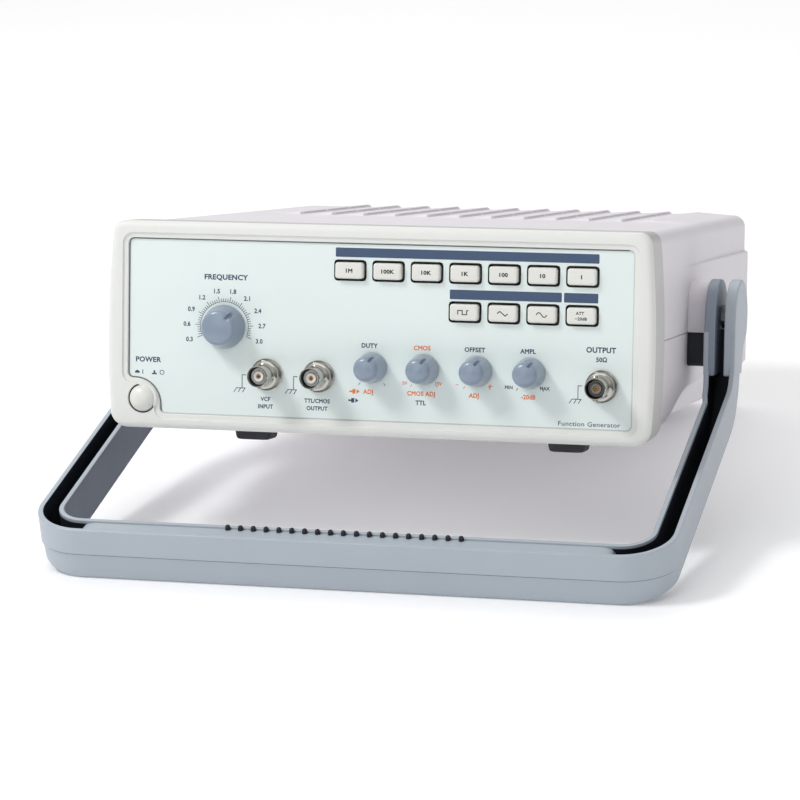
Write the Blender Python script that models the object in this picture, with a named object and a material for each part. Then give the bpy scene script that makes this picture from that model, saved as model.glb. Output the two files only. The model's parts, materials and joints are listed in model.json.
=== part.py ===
"""Bench function generator with a swivelling stand handle.

Blender 4.5 script, metres, +Z up.  The instrument is drawn in its own case frame in millimetres:
X to the right, Y to the rear with 0 at the front panel's face, Z up with 0 at the bezel's lower edge.
An empty named "case_frame" then leans the case back until the handle's bar and the rear feet stand
on Z = 0, with the origin under the middle of the whole object.

Every physical piece is one object.  Pieces that move have their origin on their joint's axis.
"""
import math

import bmesh
import bpy
from mathutils import Matrix, Vector

# ------------------------------------------------------------------ driving dimensions, millimetres
MM = 0.001                      # metres in a millimetre
FIT = 0.3                       # gap between pieces that touch
WALL = 2.5                      # moulded wall thickness

# case
BEZEL_TOP = 93.4
BEZEL_FRONT = -2.2
BEZEL_REAR = 24.0
BEZEL_HALF_BOTTOM = 123.6
BEZEL_HALF_MIDDLE = 125.3
BEZEL_HALF_TOP = 122.6
BEZEL_TOP_RADIUS = 5.5
BEZEL_BOTTOM_RADIUS = 8.0
WINDOW_HALF = 115.6
WINDOW_LOW = 6.8
WINDOW_HIGH = 85.6
COVER_REAR = 286.0
COVER_TOP = 92.2
COVER_BOTTOM = 2.0
BELT_HALF = 120.0               # half width below the step line
UPPER_HALF = 118.2              # half width above the step line
STEP_LINE = 73.7
PARTING_LINE = 43.2
CHAMFER_HEIGHT = 18.4           # where the rear underside chamfer meets the side
CHAMFER_START = 60.0
CHAMFER_FULL = 116.0
LOUVRE_COUNT = 12
LOUVRE_PITCH = 16.0
LOUVRE_RISE = 1.4
LOUVRE_START = 150.0

# front panel layout
PANEL_THICKNESS = 2.0
BUTTON_PITCH = 17.5
RANGE_FIRST_X = -12.4
RANGE_ROW_Z = 73.5
RANGE_COUNT = 7
WAVE_FIRST_X = 40.1
WAVE_ROW_Z = 56.5
BUTTON_HOLE = (14.2, 8.65)
BUTTON_CAP = (13.0, 7.5)
BUTTON_FACE = -2.8
BUTTON_TRAVEL = 2.5
POWER_X = -108.5
POWER_Z = 13.4
POWER_RADIUS = 6.15
POWER_TRAVEL = 4.0
FREQUENCY_X = -70.6
FREQUENCY_Z = 46.7
SMALL_KNOB_Z = 30.7
SMALL_KNOB_X = {"duty": -1.8, "cmos_level": 21.9, "offset": 46.0, "amplitude": 69.9}
PULL_TRAVEL = 3.0
BNC_Z = 26.0
BNC_X = {"vcf_input": -50.4, "ttl_output": -26.2, "main_output": 102.0}

# handle, in the case frame
HANDLE_HALF = 144.0             # half of the width over the outer faces
ARM_WIDTH = 11.8
EAR_WIDTH = 14.8
EAR_PLATE = 5.2                 # thickness of each of an ear's two plates
CHANNEL_DEPTH = 22.0
BAR_DEPTH = 24.8
CREASE_ON_ARM = 15.4            # how far below the lip the outer face's crease runs
CREASE_ON_BAR = 12.1
CORNER_RADIUS = 24.0
ARM_SLOPE = math.radians(21.0)  # the lower arm's slope below the case's level
PIVOT_Y = 118.5
PIVOT_Z = 50.5
EAR_RADIUS = 17.5
EAR_FRONT_Y = 100.0
WEB_TOP = 44.4                  # the channel's back web stops below the pivot bolt's head
BAR_LIP_Y = -58.1               # top outer edge of the bar
BAR_LIP_Z = -40.5
STUD_COUNT = 19
STUD_PITCH = 5.8
STUD_TIP = 1.2                  # above the channel's lips
GRIP_HALF = 116.0
GRIP_TOP = -0.9
GRIP_LOW = -10.0

# pivots
BOLT_RADIUS = 4.0
BOLT_HEAD_RADIUS = 5.4
BOLT_HEAD_LENGTH = 2.8
LUG_HALF = 9.0                  # half length of the lug between case and ear
LUG_LOW = 27.6
LUG_TOP = 66.4

# feet
FOOT_X = 74.5
FOOT_FRONT_Y = 64.0
FOOT_REAR_Y = 252.0
FOOT_WIDTH = 19.0
FOOT_LENGTH = 18.0
FOOT_DRAFT = 1.4                # how much each side leans in on its way down
FOOT_LOW = -9.6


# ------------------------------------------------------------------ scene and materials
def clear_scene():
    """Remove every object of the start-up scene."""
    for item in list(bpy.data.objects):
        bpy.data.objects.remove(item, do_unlink=True)


def material(name, colour, roughness, metallic=0.0):
    """A Principled material with one colour."""
    made = bpy.data.materials.new(name)
    made.use_nodes = True
    shader = made.node_tree.nodes["Principled BSDF"]
    shader.inputs["Base Color"].default_value = (*colour, 1.0)
    shader.inputs["Roughness"].default_value = roughness
    shader.inputs["Metallic"].default_value = metallic
    return made


def make_materials():
    """All materials of the instrument, by name."""
    return {
        "case": material("case_cover", (0.78, 0.75, 0.76), 0.55),
        "bezel": material("bezel_plastic", (0.83, 0.83, 0.79), 0.45),
        "panel": material("panel_print", (0.80, 0.87, 0.85), 0.40),
        "handle": material("handle_plastic", (0.42, 0.47, 0.53), 0.45),
        "navy": material("navy_plastic", (0.02, 0.03, 0.06), 0.50),
        "button": material("button_cap", (0.85, 0.86, 0.83), 0.35),
        "knob": material("knob_plastic", (0.28, 0.35, 0.43), 0.30),
        "rubber": material("foot_rubber", (0.05, 0.05, 0.055), 0.80),
        "nickel": material("nickel", (0.62, 0.61, 0.58), 0.22, 1.0),
        "steel": material("steel", (0.55, 0.56, 0.57), 0.35, 1.0),
        "gold": material("gold_contact", (0.80, 0.58, 0.25), 0.25, 1.0),
        "ptfe": material("insulator", (0.90, 0.90, 0.88), 0.50),
        "board": material("circuit_board", (0.05, 0.22, 0.12), 0.50),
        "black": material("black_plastic", (0.03, 0.03, 0.03), 0.50),
        "rear": material("rear_sheet", (0.70, 0.70, 0.68), 0.45),
        "core": material("laminations", (0.30, 0.30, 0.32), 0.55, 0.6),
        "coil": material("coil_tape", (0.75, 0.62, 0.20), 0.50),
        "switch": material("switch_body", (0.80, 0.80, 0.76), 0.50),
    }


# ------------------------------------------------------------------ mesh helpers (millimetres in)
def point(mesh, x, y, z):
    """One vertex, given in millimetres."""
    return mesh.verts.new((x * MM, y * MM, z * MM))


def spread(axis, along, first, second):
    """Put a station along an axis and two cross coordinates into X, Y, Z order."""
    if axis == "X":
        return along, first, second
    if axis == "Y":
        return first, along, second
    return first, second, along


def bridge(mesh, ring, other):
    """Quads between two closed rings of the same count."""
    count = len(ring)
    for index in range(count):
        after = (index + 1) % count
        mesh.faces.new((ring[index], ring[after], other[after], other[index]))


def add_loft(mesh, rings):
    """A solid through closed rings of (x, y, z) points, capped at both ends."""
    made = [[point(mesh, *place) for place in ring] for ring in rings]
    for ring, other in zip(made, made[1:]):
        bridge(mesh, ring, other)
    mesh.faces.new(made[0])
    mesh.faces.new(made[-1])


def add_prism(mesh, outline, start, end, axis="Y"):
    """A straight prism of an outline along an axis."""
    rings = [[spread(axis, along, *place) for place in outline] for along in (start, end)]
    add_loft(mesh, rings)


def add_block(mesh, spans):
    """A box from ((x0, x1), (y0, y1), (z0, z1))."""
    (x0, x1), (y0, y1), (z0, z1) = spans
    add_prism(mesh, [(x0, z0), (x1, z0), (x1, z1), (x0, z1)], y0, y1)


def add_turned(mesh, profile, axis="Y", centre=(0.0, 0.0), segments=28):
    """A turned solid of (along, radius) points; radius 0 closes on the axis."""
    rings = []
    for along, radius in profile:
        if radius == 0:
            rings.append([point(mesh, *spread(axis, along, *centre))])
            continue
        ring = []
        for index in range(segments):
            angle = 2 * math.pi * index / segments
            first = centre[0] + radius * math.cos(angle)
            second = centre[1] + radius * math.sin(angle)
            ring.append(point(mesh, *spread(axis, along, first, second)))
        rings.append(ring)
    pairs = list(zip(rings, rings[1:]))
    if profile[0][1] and profile[-1][1]:
        pairs.append((rings[-1], rings[0]))
    for ring, other in pairs:
        if len(ring) == 1 and len(other) == 1:
            continue
        if len(ring) > 1 and len(other) > 1:
            bridge(mesh, ring, other)
            continue
        pole, round_ring = (ring, other) if len(ring) == 1 else (other, ring)
        for index in range(segments):
            mesh.faces.new((pole[0], round_ring[index], round_ring[(index + 1) % segments]))


def add_shell(mesh, sections):
    """An open shell: sections are (y, outer path, inner path) with matching counts."""
    outer = [[point(mesh, x, y, z) for x, z in path] for y, path, _ in sections]
    inner = [[point(mesh, x, y, z) for x, z in path] for y, _, path in sections]
    last = len(outer[0]) - 1
    for skin in (outer, inner):
        for row, other in zip(skin, skin[1:]):
            for index in range(last):
                mesh.faces.new((row[index], row[index + 1], other[index + 1], other[index]))
    for edge in (0, last):
        for step in range(len(sections) - 1):
            quad = (outer[step][edge], outer[step + 1][edge], inner[step + 1][edge], inner[step][edge])
            mesh.faces.new(quad)
    for end in (0, -1):
        for index in range(last):
            quad = (outer[end][index], outer[end][index + 1], inner[end][index + 1], inner[end][index])
            mesh.faces.new(quad)


def place(name, mesh, look, parent, origin=(0.0, 0.0, 0.0)):
    """Turn a bmesh into a named object under a parent, with its origin at a case-frame point."""
    bmesh.ops.recalc_face_normals(mesh, faces=mesh.faces[:])
    data = bpy.data.meshes.new(name)
    mesh.to_mesh(data)
    mesh.free()
    data.shade_smooth()
    data.set_sharp_from_angle(angle=math.radians(35))
    made = bpy.data.objects.new(name, data)
    bpy.context.collection.objects.link(made)
    made.parent = parent
    made.location = Vector(origin) * MM
    if look:
        data.materials.append(look)
    return made


def cutter(name, mesh, parent, origin=(0.0, 0.0, 0.0)):
    """A guide solid that only cuts; it is never part of the object."""
    made = place(name, mesh, None, parent, origin)
    made.hide_render = True
    made.display_type = "WIRE"
    return made


def boolean(target, tool, operation="DIFFERENCE"):
    """Cut or join a target with a guide solid."""
    change = target.modifiers.new(operation.lower() + "_" + tool.name, "BOOLEAN")
    change.operation = operation
    change.solver = "EXACT"
    change.object = tool


def arc(centre, radius, start, end, steps):
    """Points on a circular arc, angles in degrees."""
    points = []
    for index in range(steps + 1):
        angle = math.radians(start + (end - start) * index / steps)
        points.append((centre[0] + radius * math.cos(angle), centre[1] + radius * math.sin(angle)))
    return points


def mirrored(points):
    """The same path on the other side of the middle plane, in reverse order."""
    return [(-x, z) for x, z in reversed(points)]


# ------------------------------------------------------------------ bezel, panel and covers
def bezel_half_width(z):
    """The bezel's sides bulge: a parabola through its bottom, middle and top widths."""
    t = z / BEZEL_TOP
    low = 2 * (t - 0.5) * (t - 1.0)
    middle = -4 * t * (t - 1.0)
    high = 2 * t * (t - 0.5)
    return low * BEZEL_HALF_BOTTOM + middle * BEZEL_HALF_MIDDLE + high * BEZEL_HALF_TOP


def bezel_ring(inset):
    """The bezel's outline, moved inwards by an inset."""
    low_r = BEZEL_BOTTOM_RADIUS - inset * 0.6
    high_r = BEZEL_TOP_RADIUS - inset * 0.6
    low_x = bezel_half_width(BEZEL_BOTTOM_RADIUS) - inset
    high_x = bezel_half_width(BEZEL_TOP - BEZEL_TOP_RADIUS) - inset
    side = arc((low_x - low_r, inset + low_r), low_r, -90, 0, 5)
    side += [(bezel_half_width(z) - inset, z) for z in (26.0, 46.0, 68.0)]
    side += arc((high_x - high_r, BEZEL_TOP - inset - high_r), high_r, 0, 90, 4)
    return side + mirrored(side)


def window_outline(grow):
    """The rounded opening around the front panel, grown outwards."""
    radius = 2.5 + grow
    x = WINDOW_HALF + grow - radius
    low = WINDOW_LOW - grow + radius
    high = WINDOW_HIGH + grow - radius
    side = arc((x, low), radius, -90, 0, 3) + arc((x, high), radius, 0, 90, 3)
    return side + mirrored(side)


def power_corner():
    """The bezel's rounded lobe around the power button, over the panel's lower left corner."""
    edge_x, edge_z = -WINDOW_HALF - 4.0, WINDOW_LOW - 4.0
    top, right, radius, flare = 22.1, -100.7, 12.0, 2.0
    outline = [(edge_x, edge_z), (right + flare, edge_z), (right + flare, WINDOW_LOW)]
    outline += [(right, WINDOW_LOW + flare)]
    outline += arc((right - radius, top - radius), radius, 0, 90, 5)
    outline += [(-WINDOW_HALF + flare, top), (-WINDOW_HALF, top + flare), (edge_x, top + flare)]
    return outline


def build_bezel(looks, frame):
    """Moulded ring: a front flange with the panel window, and a skirt that takes the covers."""
    stations = ((BEZEL_FRONT, 2.6), (BEZEL_FRONT + 0.7, 1.0), (0.6, 0.0), (BEZEL_REAR, 0.3))
    mesh = bmesh.new()
    add_loft(mesh, [[(x, y, z) for x, z in bezel_ring(inset)] for y, inset in stations])
    bezel = place("front_bezel", mesh, looks["bezel"], frame)
    cavity = bmesh.new()
    add_prism(cavity, bezel_ring(WALL + 0.4), -FIT, BEZEL_REAR + 5.0)
    boolean(bezel, cutter("bezel_cavity", cavity, frame))
    window = bmesh.new()
    add_prism(window, window_outline(0.0), BEZEL_FRONT - 3.0, 3.0)
    boolean(bezel, cutter("bezel_window", window, frame))
    ledge = bmesh.new()
    add_prism(ledge, window_outline(2.4), BEZEL_FRONT - 3.0, BEZEL_FRONT + 0.9)
    boolean(bezel, cutter("bezel_ledge", ledge, frame))
    lobe = bmesh.new()
    add_prism(lobe, power_corner(), BEZEL_FRONT + 0.2, -FIT)
    boolean(bezel, cutter("bezel_lobe", lobe, frame), "UNION")
    hole = bmesh.new()
    add_turned(hole, [(-8, 0), (-8, POWER_RADIUS + 0.45), (8, POWER_RADIUS + 0.45), (8, 0)],
               centre=(POWER_X, POWER_Z))
    boolean(bezel, cutter("bezel_power_hole", hole, frame))
    return bezel


def button_places():
    """Name, x and z of every push button of the panel."""
    places = [(f"range_button_{index + 1}", RANGE_FIRST_X + BUTTON_PITCH * index, RANGE_ROW_Z)
              for index in range(RANGE_COUNT)]
    names = ("square_wave_button", "triangle_wave_button", "sine_wave_button", "attenuator_button")
    places += [(name, WAVE_FIRST_X + BUTTON_PITCH * index, WAVE_ROW_Z)
               for index, name in enumerate(names)]
    return places


def build_panel(looks, frame):
    """The printed front panel, with a hole for every control and connector."""
    mesh = bmesh.new()
    add_block(mesh, ((-117.4, 117.4), (0.0, PANEL_THICKNESS), (5.2, 87.6)))
    panel = place("front_panel", mesh, looks["panel"], frame)
    holes = bmesh.new()
    half_x, half_z = BUTTON_HOLE[0] / 2, BUTTON_HOLE[1] / 2
    for _, x, z in button_places():
        add_block(holes, ((x - half_x, x + half_x), (-2, 4), (z - half_z, z + half_z)))
    rounds = [(FREQUENCY_X, FREQUENCY_Z, 3.8), (POWER_X, POWER_Z, 6.9)]
    rounds += [(x, SMALL_KNOB_Z, 3.8) for x in SMALL_KNOB_X.values()]
    rounds += [(x, BNC_Z, 4.9) for x in BNC_X.values()]
    for x, z, radius in rounds:
        add_turned(holes, [(-2, 0), (-2, radius), (4, radius), (4, 0)], centre=(x, z), segments=20)
    boolean(panel, cutter("panel_holes", holes, frame))
    return panel


def louvre_points(height, rise):
    """Saw-tooth points across the top, each tooth climbing to the right and dropping."""
    left = -LOUVRE_COUNT * LOUVRE_PITCH / 2
    points = []
    for index in range(LOUVRE_COUNT):
        start = left + index * LOUVRE_PITCH
        points += [(start + 0.3, height), (start + LOUVRE_PITCH - 0.3, height + rise)]
    return points


def top_paths(rise):
    """Outer and inner paths of the top cover, from the left parting line to the right."""
    radius = 5.5
    outer = [(-BELT_HALF, PARTING_LINE), (-BELT_HALF, STEP_LINE), (-UPPER_HALF, STEP_LINE + 0.9)]
    outer += arc((-UPPER_HALF + radius, COVER_TOP - radius), radius, 180, 90, 4)
    inner = [(-BELT_HALF + WALL, PARTING_LINE), (-BELT_HALF + WALL, STEP_LINE - 0.7)]
    inner += [(-UPPER_HALF + WALL, STEP_LINE + 0.2)]
    inner += arc((-UPPER_HALF + radius, COVER_TOP - radius), radius - WALL, 180, 90, 4)
    right_outer, right_inner = mirrored(outer), mirrored(inner)
    outer += louvre_points(COVER_TOP, rise)
    inner += louvre_points(COVER_TOP - WALL, 0.0)
    return outer + right_outer, inner + right_inner


def build_top_cover(looks, frame):
    """Upper shell with ribbed louvres on its rear half and a hole for each handle bolt."""
    plain, ribbed = top_paths(0.0), top_paths(LOUVRE_RISE)
    mesh = bmesh.new()
    add_shell(mesh, [(BEZEL_REAR + FIT, *plain), (LOUVRE_START, *plain),
                     (LOUVRE_START + 2.0, *ribbed), (COVER_REAR - 1.5, *ribbed), (COVER_REAR, *plain)])
    cover = place("top_cover", mesh, looks["case"], frame)
    holes = bmesh.new()
    add_turned(holes, [(-130, 0), (-130, BOLT_RADIUS + FIT), (130, BOLT_RADIUS + FIT), (130, 0)],
               "X", (PIVOT_Y, PIVOT_Z), 20)
    boolean(cover, cutter("top_cover_bolt_holes", holes, frame))
    return cover


def bottom_paths(rear):
    """Outer and inner paths of the bottom cover; its rear underside is chamfered."""
    top = PARTING_LINE - FIT
    if rear:
        low_x = 107.0
        outer_corner = [(-BELT_HALF + (BELT_HALF - low_x) * t / 4,
                         CHAMFER_HEIGHT + (COVER_BOTTOM - CHAMFER_HEIGHT) * t / 4) for t in range(5)]
        inner_low = low_x - 1.1
        inner_side = BELT_HALF - WALL
        inner_corner = [(-inner_side + (inner_side - inner_low) * t / 4,
                         CHAMFER_HEIGHT + 0.9 + (COVER_BOTTOM + WALL - CHAMFER_HEIGHT - 0.9) * t / 4)
                        for t in range(5)]
    else:
        radius = 8.0
        centre = (-BELT_HALF + radius, COVER_BOTTOM + radius)
        outer_corner = arc(centre, radius, 180, 270, 4)
        inner_corner = arc(centre, radius - WALL, 180, 270, 4)
    outer = [(-BELT_HALF, top)] + outer_corner
    inner = [(-BELT_HALF + WALL, top)] + inner_corner
    return outer + mirrored(outer), inner + mirrored(inner)


def build_bottom_cover(looks, frame):
    """Lower shell, whose underside is cut away towards the rear."""
    front, rear = bottom_paths(False), bottom_paths(True)
    mesh = bmesh.new()
    add_shell(mesh, [(BEZEL_REAR + FIT, *front), (CHAMFER_START, *front),
                     (CHAMFER_FULL, *rear), (COVER_REAR, *rear)])
    cover = place("bottom_cover", mesh, looks["case"], frame)
    bosses = bmesh.new()
    for x in (-88.0, 100.0):
        for y in (40.0, 190.0):
            add_turned(bosses, [(3.5, 0), (3.5, 3.5), (11.7, 3.0), (11.7, 0)], "Z", (x, y), 12)
    boolean(cover, cutter("board_bosses", bosses, frame), "UNION")
    return cover


def build_rear_panel(looks, frame):
    """Sheet rear panel with the inlet's cut-out."""
    side = [(100.0, 5.2), (115.0, 23.0), (115.0, 83.0), (109.0, 89.0)]
    mesh = bmesh.new()
    add_prism(mesh, side + mirrored(side), 281.5, 283.0)
    panel = place("rear_panel", mesh, looks["rear"], frame)
    hole = bmesh.new()
    add_block(hole, ((-88.3, -59.7), (278, 287), (37.7, 60.3)))
    boolean(panel, cutter("rear_panel_hole", hole, frame))


def foot_outline(inset):
    """A foot's rounded rectangle about its own centre."""
    radius = 3.0
    x, y = FOOT_WIDTH / 2 - inset - radius, FOOT_LENGTH / 2 - inset - radius
    outline = arc((x, y), radius, 0, 90, 4) + arc((-x, y), radius, 90, 180, 4)
    return outline + arc((-x, -y), radius, 180, 270, 4) + arc((x, -y), radius, 270, 360, 4)


def build_feet(looks, frame):
    """Four rounded square feet under the bottom cover."""
    spots = {"foot_front_left": (-FOOT_X, FOOT_FRONT_Y), "foot_front_right": (FOOT_X, FOOT_FRONT_Y),
             "foot_rear_left": (-FOOT_X, FOOT_REAR_Y), "foot_rear_right": (FOOT_X, FOOT_REAR_Y)}
    stations = ((COVER_BOTTOM - FIT, 0.0), (FOOT_LOW + 0.8, FOOT_DRAFT - 0.2), (FOOT_LOW, FOOT_DRAFT + 0.6))
    for name, (x, y) in spots.items():
        mesh = bmesh.new()
        rings = [[(x + px, y + py, z) for px, py in foot_outline(inset)] for z, inset in stations]
        add_loft(mesh, rings)
        place(name, mesh, looks["rubber"], frame)


# ------------------------------------------------------------------ controls
def rectangle(width, height):
    """A rectangle about the origin."""
    return [(-width / 2, -height / 2), (width / 2, -height / 2), (width / 2, height / 2), (-width / 2, height / 2)]


def build_buttons(looks, frame):
    """Eleven push buttons, each a chamfered cap with its plunger stem."""
    width, height = BUTTON_CAP
    stations = ((BUTTON_FACE, width - 1.2, height - 1.2), (BUTTON_FACE + 0.6, width, height),
                (4.0, width, height), (4.0, 4.0, 3.0), (9.0, 4.0, 3.0))
    for name, x, z in button_places():
        mesh = bmesh.new()
        add_loft(mesh, [[(px, y, pz) for px, pz in rectangle(w, h)] for y, w, h in stations])
        place(name, mesh, looks["button"], frame, (x, 0.0, z))


def build_switch_banks(looks, frame):
    """The two rows of interlocked switches behind the buttons."""
    range_last = RANGE_FIRST_X + BUTTON_PITCH * (RANGE_COUNT - 1)
    wave_last = WAVE_FIRST_X + BUTTON_PITCH * 3
    banks = {"range_switch_bank": (RANGE_FIRST_X, range_last, RANGE_ROW_Z),
             "wave_switch_bank": (WAVE_FIRST_X, wave_last, WAVE_ROW_Z)}
    for name, (first, last, z) in banks.items():
        mesh = bmesh.new()
        add_block(mesh, ((first - 7.5, last + 7.5), (12.0, 21.0), (z - 5.0, z + 5.0)))
        place(name, mesh, looks["switch"], frame)


def build_power_switch(looks, frame):
    """Round power button, its long push rod and the mains switch at the rod's end."""
    mesh = bmesh.new()
    profile = [(-5.2, 0), (-5.0, 2.6), (-4.2, 4.6), (-2.8, 5.8), (-1.4, POWER_RADIUS),
               (5.0, POWER_RADIUS), (5.0, 0)]
    add_turned(mesh, profile)
    place("power_button", mesh, looks["button"], frame, (POWER_X, 0.0, POWER_Z))
    rod = bmesh.new()
    add_turned(rod, [(5.3, 0), (5.3, 2.2), (188.0, 2.2), (188.0, 0)], segments=12)
    place("power_push_rod", rod, looks["switch"], frame, (POWER_X, 0.0, POWER_Z))
    body = bmesh.new()
    add_block(body, ((-111.0, -102.0), (193.0, 225.0), (12.0, 24.0)))
    place("power_switch", body, looks["black"], frame)


def build_knob(name, base, face, height, bore_depth, looks, frame, spot):
    """A tapered knob with a domed face and a blind bore for its shaft."""
    mesh = bmesh.new()
    profile = [(-bore_depth, 0), (-bore_depth, 3.3), (-0.6, 3.3), (-0.6, base), (-2.2, base * 0.985)]
    profile += [(-height + 1.6, face), (-height + 0.5, face * 0.86), (-height, face * 0.55)]
    profile += [(-height - 0.3, 0)]
    add_turned(mesh, profile, segments=32)
    place(name, mesh, looks["knob"], frame, spot)


def build_shaft(name, front, looks, frame, spot):
    """A potentiometer shaft that runs from the knob's bore into the pot."""
    mesh = bmesh.new()
    add_turned(mesh, [(front, 0), (front, 3.0), (15.0, 3.0), (15.0, 0)], segments=16)
    place(name, mesh, looks["steel"], frame, spot)


def build_pot(name, radius, looks, frame, spot):
    """A round potentiometer can with the blind bore that its shaft turns in."""
    mesh = bmesh.new()
    profile = [(20.5, 0), (20.5, radius), (9.0, radius), (9.0, 3.4), (16.0, 3.4), (16.0, 0)]
    add_turned(mesh, profile, segments=20)
    place(name, mesh, looks["switch"], frame, spot)


def build_knobs(looks, frame):
    """The frequency dial and the four small pull-and-turn knobs, with shafts and pots."""
    dial = (FREQUENCY_X, 0.0, FREQUENCY_Z)
    build_knob("frequency_knob", 9.8, 7.9, 11.2, 8.8, looks, frame, dial)
    build_shaft("frequency_shaft", -8.5, looks, frame, dial)
    build_pot("frequency_pot", 9.0, looks, frame, dial)
    for name, x in SMALL_KNOB_X.items():
        spot = (x, 0.0, SMALL_KNOB_Z)
        build_knob(f"{name}_knob", 6.9, 5.3, 13.7, 10.8, looks, frame, spot)
        build_shaft(f"{name}_shaft", -10.5, looks, frame, spot)
        build_pot(f"{name}_pot", 7.0, looks, frame, spot)


# ------------------------------------------------------------------ connectors
def build_bnc(name, x, looks, frame):
    """One BNC socket: a flanged shell with bayonet sleeve, its insulator and centre contact."""
    shell = bmesh.new()
    profile = [(9.0, 0), (9.0, 4.6), (-FIT, 4.6), (-FIT, 7.2), (-1.7, 7.2), (-1.9, 6.3), (-4.6, 6.3),
               (-4.9, 4.85), (-15.1, 4.85), (-15.5, 4.5), (-15.5, 4.05), (-3.0, 4.05), (-3.0, 0)]
    add_turned(shell, profile, centre=(x, BNC_Z), segments=24)
    place(f"{name}_bnc", shell, looks["nickel"], frame)
    insulator = bmesh.new()
    core = [(-13.2, 1.35), (-13.2, 3.7), (-3.3, 3.7), (-3.3, 1.35)]
    add_turned(insulator, core, centre=(x, BNC_Z), segments=20)
    place(f"{name}_insulator", insulator, looks["ptfe"], frame)
    contact = bmesh.new()
    pin = [(-12.6, 0), (-12.2, 0.9), (-3.4, 0.9), (-3.4, 0)]
    add_turned(contact, pin, centre=(x, BNC_Z), segments=10)
    place(f"{name}_contact", contact, looks["gold"], frame)


def build_inlet(looks, frame):
    """Mains inlet in the rear panel, with a recess and three blades."""
    x, z = -74.0, 49.0
    mesh = bmesh.new()
    stations = ((262.0, 27.6, 21.6), (283.3, 27.6, 21.6), (283.3, 33.0, 27.0), (286.3, 32.0, 26.0))
    add_loft(mesh, [[(x + px, y, z + pz) for px, pz in rectangle(w, h)] for y, w, h in stations])
    inlet = place("mains_inlet", mesh, looks["black"], frame)
    recess = bmesh.new()
    mouth = [(-12.2, -8.2), (12.2, -8.2), (12.2, 4.6), (8.6, 8.2), (-8.6, 8.2), (-12.2, 4.6)]
    add_prism(recess, [(x + px, z + pz) for px, pz in mouth], 266.0, 290.0)
    boolean(inlet, cutter("inlet_recess", recess, frame))
    blades = bmesh.new()
    for px, pz in ((-7.0, -2.0), (0.0, 2.0), (7.0, -2.0)):
        add_block(blades, ((x + px - 1.0, x + px + 1.0), (264.0, 278.0), (z + pz - 2.0, z + pz + 2.0)))
    boolean(inlet, cutter("inlet_blades", blades, frame), "UNION")


# ------------------------------------------------------------------ inside the case
def build_boards(looks, frame):
    """Front board behind the controls, main board on the bottom cover's bosses."""
    front = bmesh.new()
    add_block(front, ((-100.0, 108.0), (21.3, 22.9), (15.0, 84.0)))
    place("front_board", front, looks["board"], frame)
    main = bmesh.new()
    add_block(main, ((-95.0, 108.0), (32.0, 200.0), (12.0, 13.6)))
    place("main_board", main, looks["board"], frame)


def build_transformer(looks, frame):
    """Mains transformer: a laminated core with two windows, and the coil on its middle leg."""
    x, y, low, high = 62.0, 238.0, 4.8, 52.8
    leg, window, yoke, depth = 8.0, 11.0, 8.0, 13.0
    mesh = bmesh.new()
    side = leg + window + 8.0
    add_block(mesh, ((x - side, x + side), (y - depth, y + depth), (low, high)))
    core = place("transformer_core", mesh, looks["core"], frame)
    holes = bmesh.new()
    for sign in (-1, 1):
        near, far = sorted((x + sign * leg, x + sign * (leg + window)))
        add_block(holes, ((near, far), (y - depth - 5, y + depth + 5), (low + yoke, high - yoke)))
    boolean(core, cutter("core_windows", holes, frame))
    coil = bmesh.new()
    outer = leg + window - FIT
    rims = ((outer, depth + 10.0), (leg + FIT, depth + FIT))
    spans = (low + yoke + FIT, high - yoke - FIT)
    rings = []
    for half_x, half_y in rims:
        for level in (spans if half_x == outer else spans[::-1]):
            rings.append([(x + sx * half_x, y + sy * half_y, level)
                          for sx, sy in ((-1, -1), (1, -1), (1, 1), (-1, 1))])
    made = [[point(coil, *spot) for spot in ring] for ring in rings]
    for index, ring in enumerate(made):
        bridge(coil, ring, made[(index + 1) % len(made)])
    place("transformer_coil", coil, looks["coil"], frame)


# ------------------------------------------------------------------ handle
def crease_depth(depth):
    """The crease climbs towards the lip as the handle deepens from arm to bar."""
    share = (depth - CHANNEL_DEPTH) / (BAR_DEPTH - CHANNEL_DEPTH)
    return CREASE_ON_ARM + (CREASE_ON_BAR - CREASE_ON_ARM) * share


def foot_taper(depth):
    """How far the outer face leans in below its crease."""
    return 0.5 + 0.56 * (depth - CHANNEL_DEPTH)


def channel_ring(lip, inward, normal, width, depth):
    """The handle's channel section at one station, as (x, y, z) points.

    lip is the outer face's free edge, inward points across the channel, normal out of its mouth.
    """
    thick = 2.4
    section = [(0.0, 0.0), (0.0, -crease_depth(depth)), (foot_taper(depth), -depth)]
    section += [(width - 0.8, -depth)]
    section += [(width, -depth + 0.8), (width, 0.0), (width - thick, 0.0)]
    section += [(width - thick, -CHANNEL_DEPTH + thick), (thick, -CHANNEL_DEPTH + thick), (thick, 0.0)]
    return [tuple(lip + inward * across + normal * along) for across, along in section]


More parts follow.
